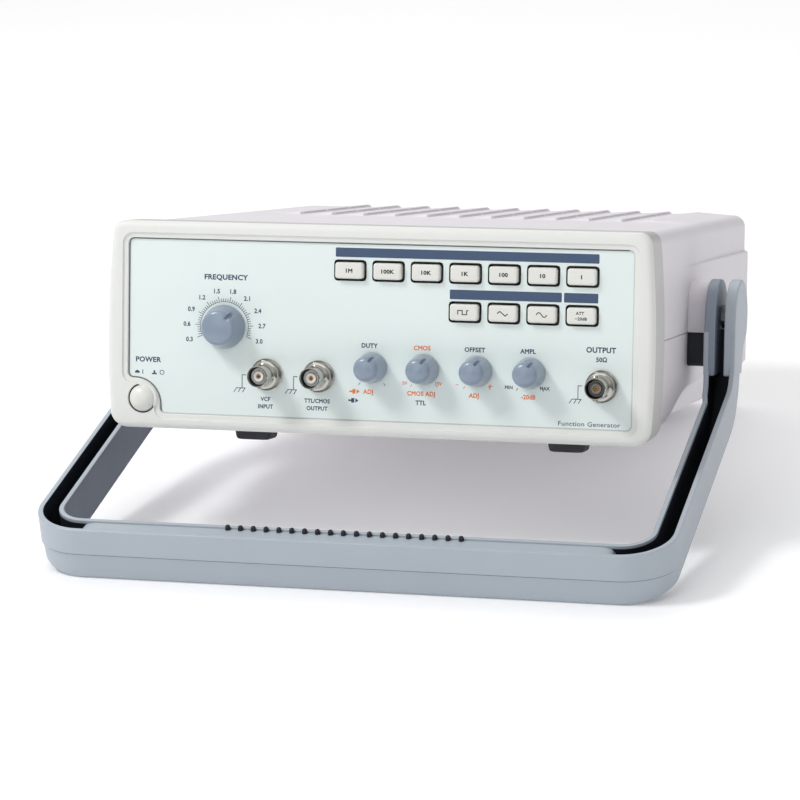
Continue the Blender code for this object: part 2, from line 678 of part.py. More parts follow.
def handle_stations():
    """Channel sections along the right half of the handle, from the ear to the bar's middle."""
    right = Vector((1, 0, 0))
    forward = Vector((0, -math.cos(ARM_SLOPE), -math.sin(ARM_SLOPE)))
    open_side = Vector((0, -math.sin(ARM_SLOPE), math.cos(ARM_SLOPE)))
    bar_lip = Vector((HANDLE_HALF, BAR_LIP_Y, BAR_LIP_Z))
    reach = (EAR_FRONT_Y - BAR_LIP_Y) / math.cos(ARM_SLOPE)
    bend = bar_lip - forward * reach
    half_turn = (math.pi / 2 - ARM_SLOPE) / 2
    mitre = (Vector((0, -1, 0)) + open_side).normalized() / math.cos(half_turn)
    rings = [channel_ring(Vector((HANDLE_HALF, EAR_FRONT_Y, WEB_TOP)), -right, Vector((0, -1, 0)),
                          EAR_WIDTH, CHANNEL_DEPTH)]
    rings.append(channel_ring(bend, -right, mitre, EAR_WIDTH, CHANNEL_DEPTH))
    for run, width, depth in ((8.0, ARM_WIDTH, CHANNEL_DEPTH),
                              (reach - CORNER_RADIUS - 30.0, ARM_WIDTH, CHANNEL_DEPTH)):
        rings.append(channel_ring(bend + forward * run, -right, open_side, width, depth))
    centre = bar_lip - forward * CORNER_RADIUS - right * CORNER_RADIUS
    steps = 7
    for index in range(steps + 1):
        turn = math.pi / 2 * index / steps
        out = right * math.cos(turn) + forward * math.sin(turn)
        share = math.sin(turn)
        depth = CHANNEL_DEPTH + (BAR_DEPTH - CHANNEL_DEPTH) * share
        rings.append(channel_ring(centre + out * CORNER_RADIUS, -out, open_side, ARM_WIDTH, depth))
    return rings


def ear_outline():
    """One ear plate seen from the side: a round head that narrows into the arm."""
    front = EAR_FRONT_Y + FIT
    outline = [(front, 26.0), (front, PIVOT_Z - 6.0)]
    outline += [(y, z) for y, z in arc((PIVOT_Y, PIVOT_Z), EAR_RADIUS, 172, -32, 14)]
    outline += [(124.5, 34.0), (EAR_FRONT_Y + CHANNEL_DEPTH - FIT, 30.0)]
    outline += [(EAR_FRONT_Y + CHANNEL_DEPTH - FIT, 26.0)]
    return outline


def build_handle(looks, frame):
    """The one-piece handle and stand: two channel arms, a front bar and two forked ears."""
    pivot = bpy.data.objects.new("handle_pivot", None)
    bpy.context.collection.objects.link(pivot)
    pivot.parent = frame
    pivot.location = Vector((0.0, PIVOT_Y, PIVOT_Z)) * MM
    to_pivot = Matrix.Translation(Vector((0.0, -PIVOT_Y, -PIVOT_Z)) * MM)
    half = handle_stations()
    other = [[(-x, y, z) for x, y, z in ring] for ring in reversed(half)]
    mesh = bmesh.new()
    add_loft(mesh, half + other)
    bmesh.ops.transform(mesh, matrix=to_pivot, verts=mesh.verts[:])
    handle = place("handle", mesh, looks["handle"], pivot)
    ears = bmesh.new()
    for near, far in ((HANDLE_HALF - EAR_WIDTH + FIT, HANDLE_HALF - EAR_WIDTH + FIT + EAR_PLATE),
                      (HANDLE_HALF - FIT - EAR_PLATE, HANDLE_HALF - FIT)):
        for sign in (-1, 1):
            add_prism(ears, ear_outline(), sign * near, sign * far, "X")
    bmesh.ops.transform(ears, matrix=to_pivot, verts=ears.verts[:])
    boolean(handle, cutter("handle_ears", ears, pivot), "UNION")
    holes = bmesh.new()
    for sign in (-1, 1):
        start, end = sorted((sign * (HANDLE_HALF - EAR_WIDTH - 3.0), sign * (HANDLE_HALF - EAR_PLATE - 1.0)))
        radius = BOLT_RADIUS + FIT
        add_turned(holes, [(start, 0), (start, radius), (end, radius), (end, 0)], "X", (0, 0), 20)
    boolean(handle, cutter("handle_bolt_holes", holes, pivot))
    build_grip(looks, pivot, to_pivot)


def grip_outline(base, tip):
    """The grip seen from the front: a long bed whose top rises to the studs' tips."""
    half = STUD_PITCH * (STUD_COUNT - 1) / 2
    outline = [(-GRIP_HALF, GRIP_LOW), (GRIP_HALF, GRIP_LOW), (GRIP_HALF, base)]
    for index in range(STUD_COUNT - 1, -1, -1):
        middle = -half + STUD_PITCH * index
        outline += [(middle + 1.3, base), (middle + 0.9, tip), (middle - 0.9, tip), (middle - 1.3, base)]
    return outline + [(-GRIP_HALF, base)]


def build_grip(looks, pivot, to_pivot):
    """Grip that fills the bar's channel, with a row of studs along the inner lip."""
    open_side = Vector((0, -math.sin(ARM_SLOPE), math.cos(ARM_SLOPE)))
    forward = Vector((0, -math.cos(ARM_SLOPE), -math.sin(ARM_SLOPE)))
    lip = Vector((0, BAR_LIP_Y, BAR_LIP_Z))
    near, far = 2.4 + FIT, ARM_WIDTH - 2.4 - FIT
    flat, studded = grip_outline(GRIP_TOP, GRIP_TOP), grip_outline(GRIP_TOP, STUD_TIP)
    rings = []
    for across, outline in ((near, flat), (far - 2.3, flat), (far - 1.8, studded), (far, studded)):
        base = lip - forward * across
        rings.append([tuple(base + Vector((x, 0, 0)) + open_side * along) for x, along in outline])
    mesh = bmesh.new()
    add_loft(mesh, rings)
    bmesh.ops.transform(mesh, matrix=to_pivot, verts=mesh.verts[:])
    place("handle_grip", mesh, looks["navy"], pivot)


def lug_outline():
    """The lug seen from the side: upright, with a round top and a flat bottom."""
    centre = (PIVOT_Y, LUG_TOP - LUG_HALF)
    outline = arc((PIVOT_Y + LUG_HALF - 2.0, LUG_LOW + 2.0), 2.0, -90, 0, 3)
    outline += arc(centre, LUG_HALF, 0, 180, 14)
    return outline + arc((PIVOT_Y - LUG_HALF + 2.0, LUG_LOW + 2.0), 2.0, 180, 270, 3)


def build_pivots(looks, frame):
    """On each side: the spacer lug between case and ear, and the bolt through both."""
    inner_face = HANDLE_HALF - EAR_WIDTH
    nut_face = BELT_HALF - WALL - FIT
    head = inner_face + FIT + EAR_PLATE + FIT
    tip = head + BOLT_HEAD_LENGTH
    bolt = [(nut_face - 5.0, 0), (nut_face - 5.0, 8.5), (nut_face, 8.5), (nut_face, BOLT_RADIUS),
            (head, BOLT_RADIUS), (head, BOLT_HEAD_RADIUS), (tip, BOLT_HEAD_RADIUS), (tip, 0)]
    for sign, side in ((-1, "left"), (1, "right")):
        start, end = sorted((sign * (BELT_HALF + FIT), sign * (inner_face - FIT)))
        hub_mesh, hole, bolt_mesh = bmesh.new(), bmesh.new(), bmesh.new()
        add_prism(hub_mesh, lug_outline(), start, end, "X")
        hub = place(f"pivot_hub_{side}", hub_mesh, looks["navy"], frame)
        radius = BOLT_RADIUS + FIT
        add_turned(hole, [(start - 2, 0), (start - 2, radius), (end + 2, radius), (end + 2, 0)],
                   "X", (PIVOT_Y, PIVOT_Z), 20)
        boolean(hub, cutter(f"hub_hole_{side}", hole, frame))
        add_turned(bolt_mesh, [(sign * along, r) for along, r in bolt], "X", (PIVOT_Y, PIVOT_Z), 20)
        place(f"pivot_bolt_{side}", bolt_mesh, looks["steel"], frame)


# ------------------------------------------------------------------ standing pose
def bar_contact():
    """The bar's lowest outer edge in the case frame, where it meets the bench."""
    taper = foot_taper(BAR_DEPTH)
    y = BAR_LIP_Y + BAR_DEPTH * math.sin(ARM_SLOPE) + taper * math.cos(ARM_SLOPE)
    z = BAR_LIP_Z - BAR_DEPTH * math.cos(ARM_SLOPE) + taper * math.sin(ARM_SLOPE)
    return y, z


def stand_up(frame):
    """Lean the case frame back onto the bar and the rear feet, then centre it on the origin."""
    bar_y, bar_z = bar_contact()
    foot_y = FOOT_REAR_Y + FOOT_LENGTH / 2 - FOOT_DRAFT - 0.6
    lean = math.atan2(FOOT_LOW - bar_z, foot_y - bar_y)
    frame.rotation_euler = (-lean, 0.0, 0.0)
    bpy.context.view_layer.update()
    corners = []
    for item in bpy.data.objects:
        if item.type == "MESH" and not item.hide_render:
            corners += [item.matrix_world @ vertex.co for vertex in item.data.vertices]
    low_y, high_y = min(c.y for c in corners), max(c.y for c in corners)
    frame.location = (0.0, -(low_y + high_y) / 2, -min(c.z for c in corners))
    bpy.context.view_layer.update()


def main():
    """Build the whole instrument."""
    clear_scene()
    looks = make_materials()
    frame = bpy.data.objects.new("case_frame", None)
    bpy.context.collection.objects.link(frame)
    build_bezel(looks, frame)
    build_panel(looks, frame)
    build_top_cover(looks, frame)
    build_bottom_cover(looks, frame)
    build_rear_panel(looks, frame)
    build_feet(looks, frame)
    build_buttons(looks, frame)
    build_switch_banks(looks, frame)
    build_power_switch(looks, frame)
    build_knobs(looks, frame)
    for name, x in BNC_X.items():
        build_bnc(name, x, looks, frame)
    build_inlet(looks, frame)
    build_boards(looks, frame)
    build_transformer(looks, frame)
    build_handle(looks, frame)
    build_pivots(looks, frame)
    stand_up(frame)


main()
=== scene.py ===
"""Looks of a bench function generator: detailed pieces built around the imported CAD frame.

Pieces are drawn in the case frame, in millimetres: X to the right, Y to the rear with 0 at the front
panel's face, Z up with 0 at the bezel's lower edge.  CASE turns that into the frame's metres.
"""
import json
import math

import bmesh
import bpy
from mathutils import Euler, Matrix, Vector


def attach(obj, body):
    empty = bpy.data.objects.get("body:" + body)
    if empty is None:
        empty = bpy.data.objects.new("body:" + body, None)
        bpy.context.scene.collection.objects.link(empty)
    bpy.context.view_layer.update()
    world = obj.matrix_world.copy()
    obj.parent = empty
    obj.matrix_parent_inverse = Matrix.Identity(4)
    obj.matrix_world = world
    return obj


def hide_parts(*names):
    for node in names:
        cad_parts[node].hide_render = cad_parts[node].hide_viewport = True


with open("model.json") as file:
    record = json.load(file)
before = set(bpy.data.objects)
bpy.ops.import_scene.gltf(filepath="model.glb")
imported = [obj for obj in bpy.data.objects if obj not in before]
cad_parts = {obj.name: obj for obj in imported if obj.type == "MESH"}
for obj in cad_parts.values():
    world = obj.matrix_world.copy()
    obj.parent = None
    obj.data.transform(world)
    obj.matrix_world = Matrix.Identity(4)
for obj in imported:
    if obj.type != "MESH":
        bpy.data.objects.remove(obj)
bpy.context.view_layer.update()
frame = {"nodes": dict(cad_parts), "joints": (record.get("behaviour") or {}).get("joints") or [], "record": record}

MM = 0.001

# sizes and places in the case frame, as in the CAD
WALL = 2.5
BEZEL_HALF_BOTTOM = 123.6
BEZEL_HALF_MIDDLE = 125.3
BEZEL_HALF_TOP = 122.6
BEZEL_BOTTOM_RADIUS = 8.0
BEZEL_TOP_RADIUS = 5.5
BEZEL_TOP = 93.4
BEZEL_FRONT = -2.2
BEZEL_REAR = 24.0
BELT_HALF = 120.0
COVER_TOP = 92.2
COVER_BOTTOM = 2.0
COVER_REAR = 286.0
STEP_LINE = 73.7
PARTING_LINE = 43.2
LOUVRE_COUNT = 12
LOUVRE_PITCH = 16.0
LOUVRE_FIRST_X = -96.0
LOUVRE_RISE = 1.4
FOOT_X = 74.5
FOOT_Y = {"front": 64.0, "rear": 252.0}
FOOT_WIDTH = 19.0
FOOT_LENGTH = 18.0
FOOT_LOW = -9.6
POWER_SPOT = (-108.5, 13.4)
FREQUENCY_SPOT = (-70.6, 46.7)
SMALL_KNOB_Z = 30.7
SMALL_KNOB_X = {"duty": -1.8, "cmos_level": 21.9, "offset": 46.0, "amplitude": 69.9}
BUTTON_PITCH = 17.5
RANGE_SPOT = (-12.4, 73.5)
WAVE_SPOT = (40.1, 56.5)
BUTTON_FACE = -2.8
BNC_Z = 26.0
INLET_SPOT = (-74.0, 49.0)
FUSE_SPOT = (-30.0, 49.0)        # the one place here that has no CAD node
PIVOT = Vector((0.0, 118.5, 50.5))
HANDLE_HALF = 144.0
ARM_WIDTH = 11.8
EAR_WIDTH = 14.8
EAR_PLATE = 5.2
ARM_DEPTH = 22.0
BAR_DEPTH = 24.8
CORNER_RADIUS = 24.0
EAR_RADIUS = 17.5
EAR_FRONT_Y = 100.0
WEB_TOP = 44.4
ARM_SLOPE = math.radians(21.0)
BAR_LIP = Vector((0.0, -58.1, -40.5))
OPEN_SIDE = Vector((0.0, -math.sin(ARM_SLOPE), math.cos(ARM_SLOPE)))
FORWARD = Vector((0.0, -math.cos(ARM_SLOPE), -math.sin(ARM_SLOPE)))
RIGHT = Vector((1.0, 0.0, 0.0))
SIDES = ((-1, "left"), (1, "right"))

# camera, in the case frame
CAMERA_SPOT = Vector((395.57, -1468.40, 151.50))
CAMERA_DEGREES = (84.9256, -0.8364, 14.7441)
CAMERA_LENS = 154.987


def joint(name):
    """One joint of the record."""
    return next(entry for entry in frame["joints"] if entry["name"] == name)


def case_matrix():
    """The case frame's place, from the power button's slide and the handle's hinge."""
    rearward = joint("power_press")["axis"]
    turn = Matrix.Rotation(-math.atan2(-rearward[2], rearward[1]), 4, "X")
    hinge = Vector(joint("handle_swivel")["pos_m"])
    return Matrix.Translation(hinge - turn @ (PIVOT * MM)) @ turn @ Matrix.Scale(MM, 4)


CASE = case_matrix()


# ---------------- materials
def linear(colour):
    """An 8-bit sRGB colour as linear RGBA."""
    values = [c / 255 for c in colour]
    return tuple(v / 12.92 if v <= 0.04045 else ((v + 0.055) / 1.055) ** 2.4 for v in values) + (1.0,)


def material(name, colour, roughness, metallic=0.0, mottle=0.03, mottle_scale=35.0, grain=0.02,
             grain_scale=2200.0, stretch=(1.0, 1.0, 1.0), coat=0.0, specular=0.5, bands=None):
    """A Principled material with colour mottling, uneven gloss and a fine surface grain.

    bands is (axis, per metre, share, colour): stripes of a second colour across that axis.
    """
    made = bpy.data.materials.new(name)
    made.use_nodes = True
    nodes, links = made.node_tree.nodes, made.node_tree.links
    shader = nodes["Principled BSDF"]
    shader.inputs["Metallic"].default_value = metallic
    shader.inputs["Coat Weight"].default_value = coat
    shader.inputs["Coat Roughness"].default_value = 0.12
    shader.inputs["Specular IOR Level"].default_value = specular
    place = nodes.new("ShaderNodeTexCoord")
    stretched = nodes.new("ShaderNodeMapping")
    stretched.inputs["Scale"].default_value = stretch
    links.new(place.outputs["Object"], stretched.inputs["Vector"])

    def noise(scale, detail):
        node = nodes.new("ShaderNodeTexNoise")
        node.inputs["Scale"].default_value = scale
        node.inputs["Detail"].default_value = detail
        links.new(stretched.outputs["Vector"], node.inputs["Vector"])
        return node.outputs["Fac"]

    base = linear(colour)
    ramp = nodes.new("ShaderNodeValToRGB")
    ramp.color_ramp.elements[0].position = 0.3
    ramp.color_ramp.elements[1].position = 0.7
    ramp.color_ramp.elements[0].color = tuple(c * (1 - mottle) for c in base[:3]) + (1.0,)
    ramp.color_ramp.elements[1].color = tuple(min(1.0, c * (1 + mottle)) for c in base[:3]) + (1.0,)
    links.new(noise(mottle_scale, 4.0), ramp.inputs["Fac"])
    colour_out = ramp.outputs["Color"]
    if bands:
        axis, rate, share, second = bands
        split = nodes.new("ShaderNodeSeparateXYZ")
        links.new(place.outputs["Object"], split.inputs["Vector"])
        value = split.outputs[axis]
        for operation, number in (("MULTIPLY", rate), ("FRACT", 0.5), ("LESS_THAN", share)):
            node = nodes.new("ShaderNodeMath")
            node.operation = operation
            node.inputs[1].default_value = number
            links.new(value, node.inputs[0])
            value = node.outputs[0]
        mix = nodes.new("ShaderNodeMix")
        mix.data_type = "RGBA"
        links.new(value, mix.inputs["Factor"])
        links.new(colour_out, mix.inputs[6])
        mix.inputs[7].default_value = linear(second)
        colour_out = mix.outputs[2]
    links.new(colour_out, shader.inputs["Base Color"])
    gloss = nodes.new("ShaderNodeMapRange")
    gloss.inputs["To Min"].default_value = max(0.02, roughness - 0.05)
    gloss.inputs["To Max"].default_value = min(1.0, roughness + 0.05)
    links.new(noise(mottle_scale * 4.0, 3.0), gloss.inputs["Value"])
    links.new(gloss.outputs["Result"], shader.inputs["Roughness"])
    bump = nodes.new("ShaderNodeBump")
    bump.inputs["Strength"].default_value = grain
    bump.inputs["Distance"].default_value = 0.0003
    links.new(noise(grain_scale, 2.0), bump.inputs["Height"])
    links.new(bump.outputs["Normal"], shader.inputs["Normal"])
    return made


LOOKS = {}


def add_look(name, colour, roughness, **more):
    """Add a material to LOOKS."""
    LOOKS[name] = material("visual_" + name, colour, roughness, **more)


add_look("cover", (233, 229, 234), 0.52, mottle=0.015, grain=0.20, grain_scale=1500.0)
add_look("bezel", (231, 232, 228), 0.42, mottle=0.012, grain=0.08)
add_look("panel", (230, 241, 239), 0.38, mottle=0.008, mottle_scale=12.0, grain=0.03)
add_look("handle", (172, 181, 190), 0.42, mottle=0.02, grain=0.10, grain_scale=1800.0)
# darker copy of the handle for the arms' walls that face the case: painted shade
add_look("arm_wall_painted_shade", (84, 96, 112), 0.42, grain=0.10)
# darker copy of the handle for the ears' inner plates: painted shade
add_look("ear_plate_painted_shade", (136, 147, 161), 0.42, grain=0.10)
# darker line on the crease ledge: painted shadow
add_look("crease_painted_shadow", (112, 122, 134), 0.5, grain=0.05)
add_look("handle_inside", (17, 25, 38), 0.55, mottle=0.12, grain=0.15)
# navy plastic, and painted shade on the pivot lugs' lower halves
add_look("navy", (24, 28, 36), 0.55, mottle=0.1, grain=0.15)
add_look("button", (230, 230, 224), 0.34, mottle=0.012, grain=0.05)
add_look("knob", (136, 151, 169), 0.30, coat=0.5, mottle=0.025, mottle_scale=120.0, grain=0.05)
add_look("knob_mark", (98, 110, 132), 0.45, mottle=0.08, grain=0.05)
add_look("rubber", (62, 62, 66), 0.80, mottle=0.10, grain=0.35, grain_scale=1300.0)
add_look("nickel", (186, 184, 178), 0.10, metallic=1.0, mottle=0.05, mottle_scale=220.0, grain=0.03)
add_look("steel", (120, 122, 126), 0.34, metallic=1.0, mottle=0.06, grain=0.05, stretch=(1.0, 6.0, 6.0))
add_look("gold", (214, 160, 74), 0.22, metallic=1.0, mottle=0.08, mottle_scale=400.0)
add_look("ptfe", (240, 240, 236), 0.42, mottle=0.02, mottle_scale=160.0)
add_look("grey_insulator", (128, 126, 122), 0.40, mottle=0.05, mottle_scale=160.0)
add_look("board", (26, 88, 58), 0.42, mottle=0.06, mottle_scale=90.0, coat=0.3, bands=("X", 130.0, 0.12, (60,
         128, 84)))
# black plastic, and painted shade inside the sockets' bores
add_look("black", (22, 22, 23), 0.45, mottle=0.10, grain=0.12)
# a darker copy of the bezel for its side band: painted shade
add_look("bezel_side_painted_shade", (196, 196, 194), 0.46, mottle=0.012, grain=0.08)
# a dark seam colour that is painted shade, on the panel's gap line and the bezel's rear edge, and a light copy of
# it that is painted light
add_look("seam_painted_shade", (104, 106, 108), 0.6, mottle=0.05, grain=0.05)
add_look("seam_painted_light", (198, 202, 202), 0.6, mottle=0.05, grain=0.05)
# a shade darker than the cover, for the louvres' slots: painted shade
add_look("louvre_gap", (204, 199, 205), 0.6, mottle=0.05, grain=0.10)
# black for the insides of slots, holes and gaps: painted shade
add_look("gap", (12, 12, 14), 0.75, mottle=0.15, grain=0.10)
add_look("rear", (204, 204, 199), 0.46, grain=0.12, grain_scale=900.0)
add_look("core", (78, 78, 82), 0.5, metallic=0.6, bands=("Z", 1400.0, 0.35, (40, 40, 44)))
add_look("coil", (206, 176, 84), 0.45, bands=("Z", 330.0, 0.5, (188, 152, 62)))
add_look("switch", (214, 214, 206), 0.45, grain=0.06)
add_look("ink", (56, 66, 96), 0.50, mottle=0.05, mottle_scale=150.0)
add_look("ink_bar", (64, 84, 114), 0.42, mottle=0.04, mottle_scale=60.0)
add_look("ink_orange", (232, 122, 52), 0.50, mottle=0.05, mottle_scale=150.0)
add_look("ink_black", (38, 38, 42), 0.50, mottle=0.08, mottle_scale=150.0)
add_look("floor", (250, 250, 251), 0.85, mottle=0.004, mottle_scale=2.0, grain=0.0, specular=0.1)
FLOOR_GLOW = 0.14                # lifts the floor's shadows, as a light table does


# ---------------- mesh helpers, in millimetres
def finish_piece(name, mesh, looks, body, replaces=(), sharp=32.0, bevel=0.0, steps=2):
    """Make the bmesh, drawn in the case frame, a piece of its own that rides on a body."""
    bmesh.ops.remove_doubles(mesh, verts=mesh.verts[:], dist=0.0005)
    bmesh.ops.recalc_face_normals(mesh, faces=mesh.faces[:])
    if bevel:
        limit = math.radians(sharp)
        edges = [e for e in mesh.edges if len(e.link_faces) == 2 and e.calc_face_angle(0.0) > limit]
        bmesh.ops.bevel(mesh, geom=edges, offset=bevel, offset_type="OFFSET", segments=steps,
                        profile=0.5, affect="EDGES", clamp_overlap=True)
    bmesh.ops.transform(mesh, matrix=CASE, verts=mesh.verts[:])
    data = bpy.data.meshes.new(name)
    mesh.to_mesh(data)
    mesh.free()
    data.shade_smooth()
    data.set_sharp_from_angle(angle=math.radians(sharp + 4.0))
    made = bpy.data.objects.new(name, data)
    bpy.context.scene.collection.objects.link(made)
    for look in looks:
        data.materials.append(LOOKS[look])
    even = made.modifiers.new("even_shading", "WEIGHTED_NORMAL")
    even.keep_sharp = True
    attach(made, body)
    if replaces:
        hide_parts(*replaces)
    return made


def ring_verts(mesh, points):
    """Vertices of one ring."""
    return [mesh.verts.new(Vector(p)) for p in points]


def standing(outline, y):
    """An (x, z) outline as points at a depth y."""
    return [(x, y, z) for x, z in outline]


def ring_at(mesh, outline, y):
    """Vertices of an (x, z) outline at a depth y."""
    return ring_verts(mesh, standing(outline, y))


def bridge(mesh, ring, other, look=0, closed=True):
    """Quads between two rings of the same count."""
    count = len(ring)
    for index in range(count if closed else count - 1):
        after = (index + 1) % count
        mesh.faces.new((ring[index], ring[after], other[after], other[index])).material_index = look


def bridge_all(mesh, rings, look=0, closed=True):
    """Quads between each ring and the next one."""
    for ring, other in zip(rings, rings[1:]):
        bridge(mesh, ring, other, look, closed)


def bridge_round(mesh, rings):
    """Quads between each ring and the next one, and from the last back to the first."""
    for index, ring in enumerate(rings):
        bridge(mesh, ring, rings[(index + 1) % len(rings)])


def loft(mesh, rings, look=0, caps=True):
    """A solid through closed rings."""
    made = [ring_verts(mesh, ring) for ring in rings]
    bridge_all(mesh, made, look)
    if caps:
        mesh.faces.new(made[0]).material_index = look
        mesh.faces.new(made[-1]).material_index = look
    return made


def turned(mesh, profile, centre, segments=48):
    """A turned solid of (y, radius) points about an axis that runs to the rear through an (x, z) centre."""
    rings = []
    for y, radius in profile:
        ring = []
        for index in range(1 if radius == 0 else segments):
            angle = 2 * math.pi * index / segments
            spot = (centre[0] + radius * math.cos(angle), y, centre[1] + radius * math.sin(angle))
            ring.append(mesh.verts.new(spot))
        rings.append(ring)
    pairs = list(zip(rings, rings[1:]))
    if len(rings[0]) > 1 and len(rings[-1]) > 1:
        pairs.append((rings[-1], rings[0]))
    for ring, other in pairs:
        if len(ring) == len(other):
            bridge(mesh, ring, other)
            continue
        pole, rim = (ring, other) if len(ring) == 1 else (other, ring)
        for index in range(segments):
            mesh.faces.new((pole[0], rim[index], rim[(index + 1) % segments]))


def arc(centre, radius, start, end, steps):
    """Points on a circular arc, angles in degrees."""
    angles = [math.radians(start + (end - start) * index / steps) for index in range(steps + 1)]
    return [(centre[0] + radius * math.cos(a), centre[1] + radius * math.sin(a)) for a in angles]


def circle(centre, radius, count):
    """Evenly spaced points on a full circle."""
    return arc(centre, radius, 0, 360 - 360 / count, count - 1)


def rounded(width, height, radius, centre=(0.0, 0.0), steps=5):
    """A rounded rectangle, counter-clockwise."""
    x, z = width / 2 - radius, height / 2 - radius
    outline = []
    for sx, sz, start in ((1, 1, 0), (-1, 1, 90), (-1, -1, 180), (1, -1, 270)):
        outline += arc((centre[0] + sx * x, centre[1] + sz * z), radius, start, start + 90, steps)
    return outline


def mirrored(points):
    """The same path on the other side of the middle plane, in reverse order."""
    return [(-x, z) for x, z in reversed(points)]


def prism(mesh, outline, start, end, axis="Y", look=0):
    """A straight prism: an (x, z) outline along Y, or a (y, z) one along X."""
    if axis == "X":
        ends = [[(x, *point) for point in outline] for x in (start, end)]
    else:
        ends = [standing(outline, y) for y in (start, end)]
    loft(mesh, ends, look)


def flat_with_holes(mesh, loops):
    """Fill a flat face between an outer loop and the loops of its holes."""
    edges = []
    for loop in loops:
        for index, vert in enumerate(loop):
            after = loop[(index + 1) % len(loop)]
            edges.append(mesh.edges.get((vert, after)) or mesh.edges.new((vert, after)))
    bmesh.ops.triangle_fill(mesh, use_beauty=True, use_dissolve=False, edges=edges)


def offset_path(path, distance):
    """A closed counter-clockwise path moved outwards by a distance."""
    moved = []
    count = len(path)
    for index, (x, z) in enumerate(path):
        before, after = path[index - 1], path[(index + 1) % count]
        along_in = Vector((x - before[0], z - before[1])).normalized()
        along_out = Vector((after[0] - x, after[1] - z)).normalized()
        normal_in = Vector((along_in.y, -along_in.x))
        normal_out = Vector((along_out.y, -along_out.x))
        middle = (normal_in + normal_out).normalized()
        moved.append((x + middle.x * distance / max(0.5, middle.dot(normal_in)),
                      z + middle.y * distance / max(0.5, middle.dot(normal_in))))
    return moved


# ---------------- bezel
def bezel_half_width(z):
    """The bezel's sides bulge: a parabola through its bottom, middle and top widths."""
    t = z / BEZEL_TOP
    return (2 * (t - 0.5) * (t - 1) * BEZEL_HALF_BOTTOM - 4 * t * (t - 1) * BEZEL_HALF_MIDDLE
            + 2 * t * (t - 0.5) * BEZEL_HALF_TOP)


def bezel_ring(inset):
    """The bezel's outline, counter-clockwise, moved inwards by an inset."""
    low_r, high_r = BEZEL_BOTTOM_RADIUS - inset * 0.6, BEZEL_TOP_RADIUS - inset * 0.6
    low_x = bezel_half_width(BEZEL_BOTTOM_RADIUS) - inset
    high_x = bezel_half_width(BEZEL_TOP - BEZEL_TOP_RADIUS) - inset
    side = [(0.0, inset), (60.0, inset)]
    side += arc((low_x - low_r, inset + low_r), low_r, -90, 0, 9)
    side += [(bezel_half_width(z) - inset, z) for z in range(14, 86, 6)]
    side += arc((high_x - high_r, BEZEL_TOP - inset - high_r), high_r, 0, 90, 8)
    side += [(60.0, BEZEL_TOP - inset)]
    return side + [(0.0, BEZEL_TOP - inset)] + mirrored(side)[:-1]


def window_path():
    """The panel window's edge, counter-clockwise, with the lobe round the power button."""
    half, low, high = 115.6, 6.8, 85.6
    top, right, radius, flare = 22.6, -100.3, 12.0, 2.4
    path = [(0.0, low), (half - 2.5, low)] + arc((half - 2.5, low + 2.5), 2.5, -90, 0, 6)[1:]
    path += arc((half - 2.5, high - 2.5), 2.5, 0, 90, 6)
    path += arc((-half + 2.5, high - 2.5), 2.5, 90, 180, 6)
    path += arc((-half + flare, top + flare), flare, 180, 270, 5)
    path += arc((right - radius, top - radius), radius, 90, 0, 10)
    path += arc((right + flare, low + flare), flare, 180, 270, 5)
    return path


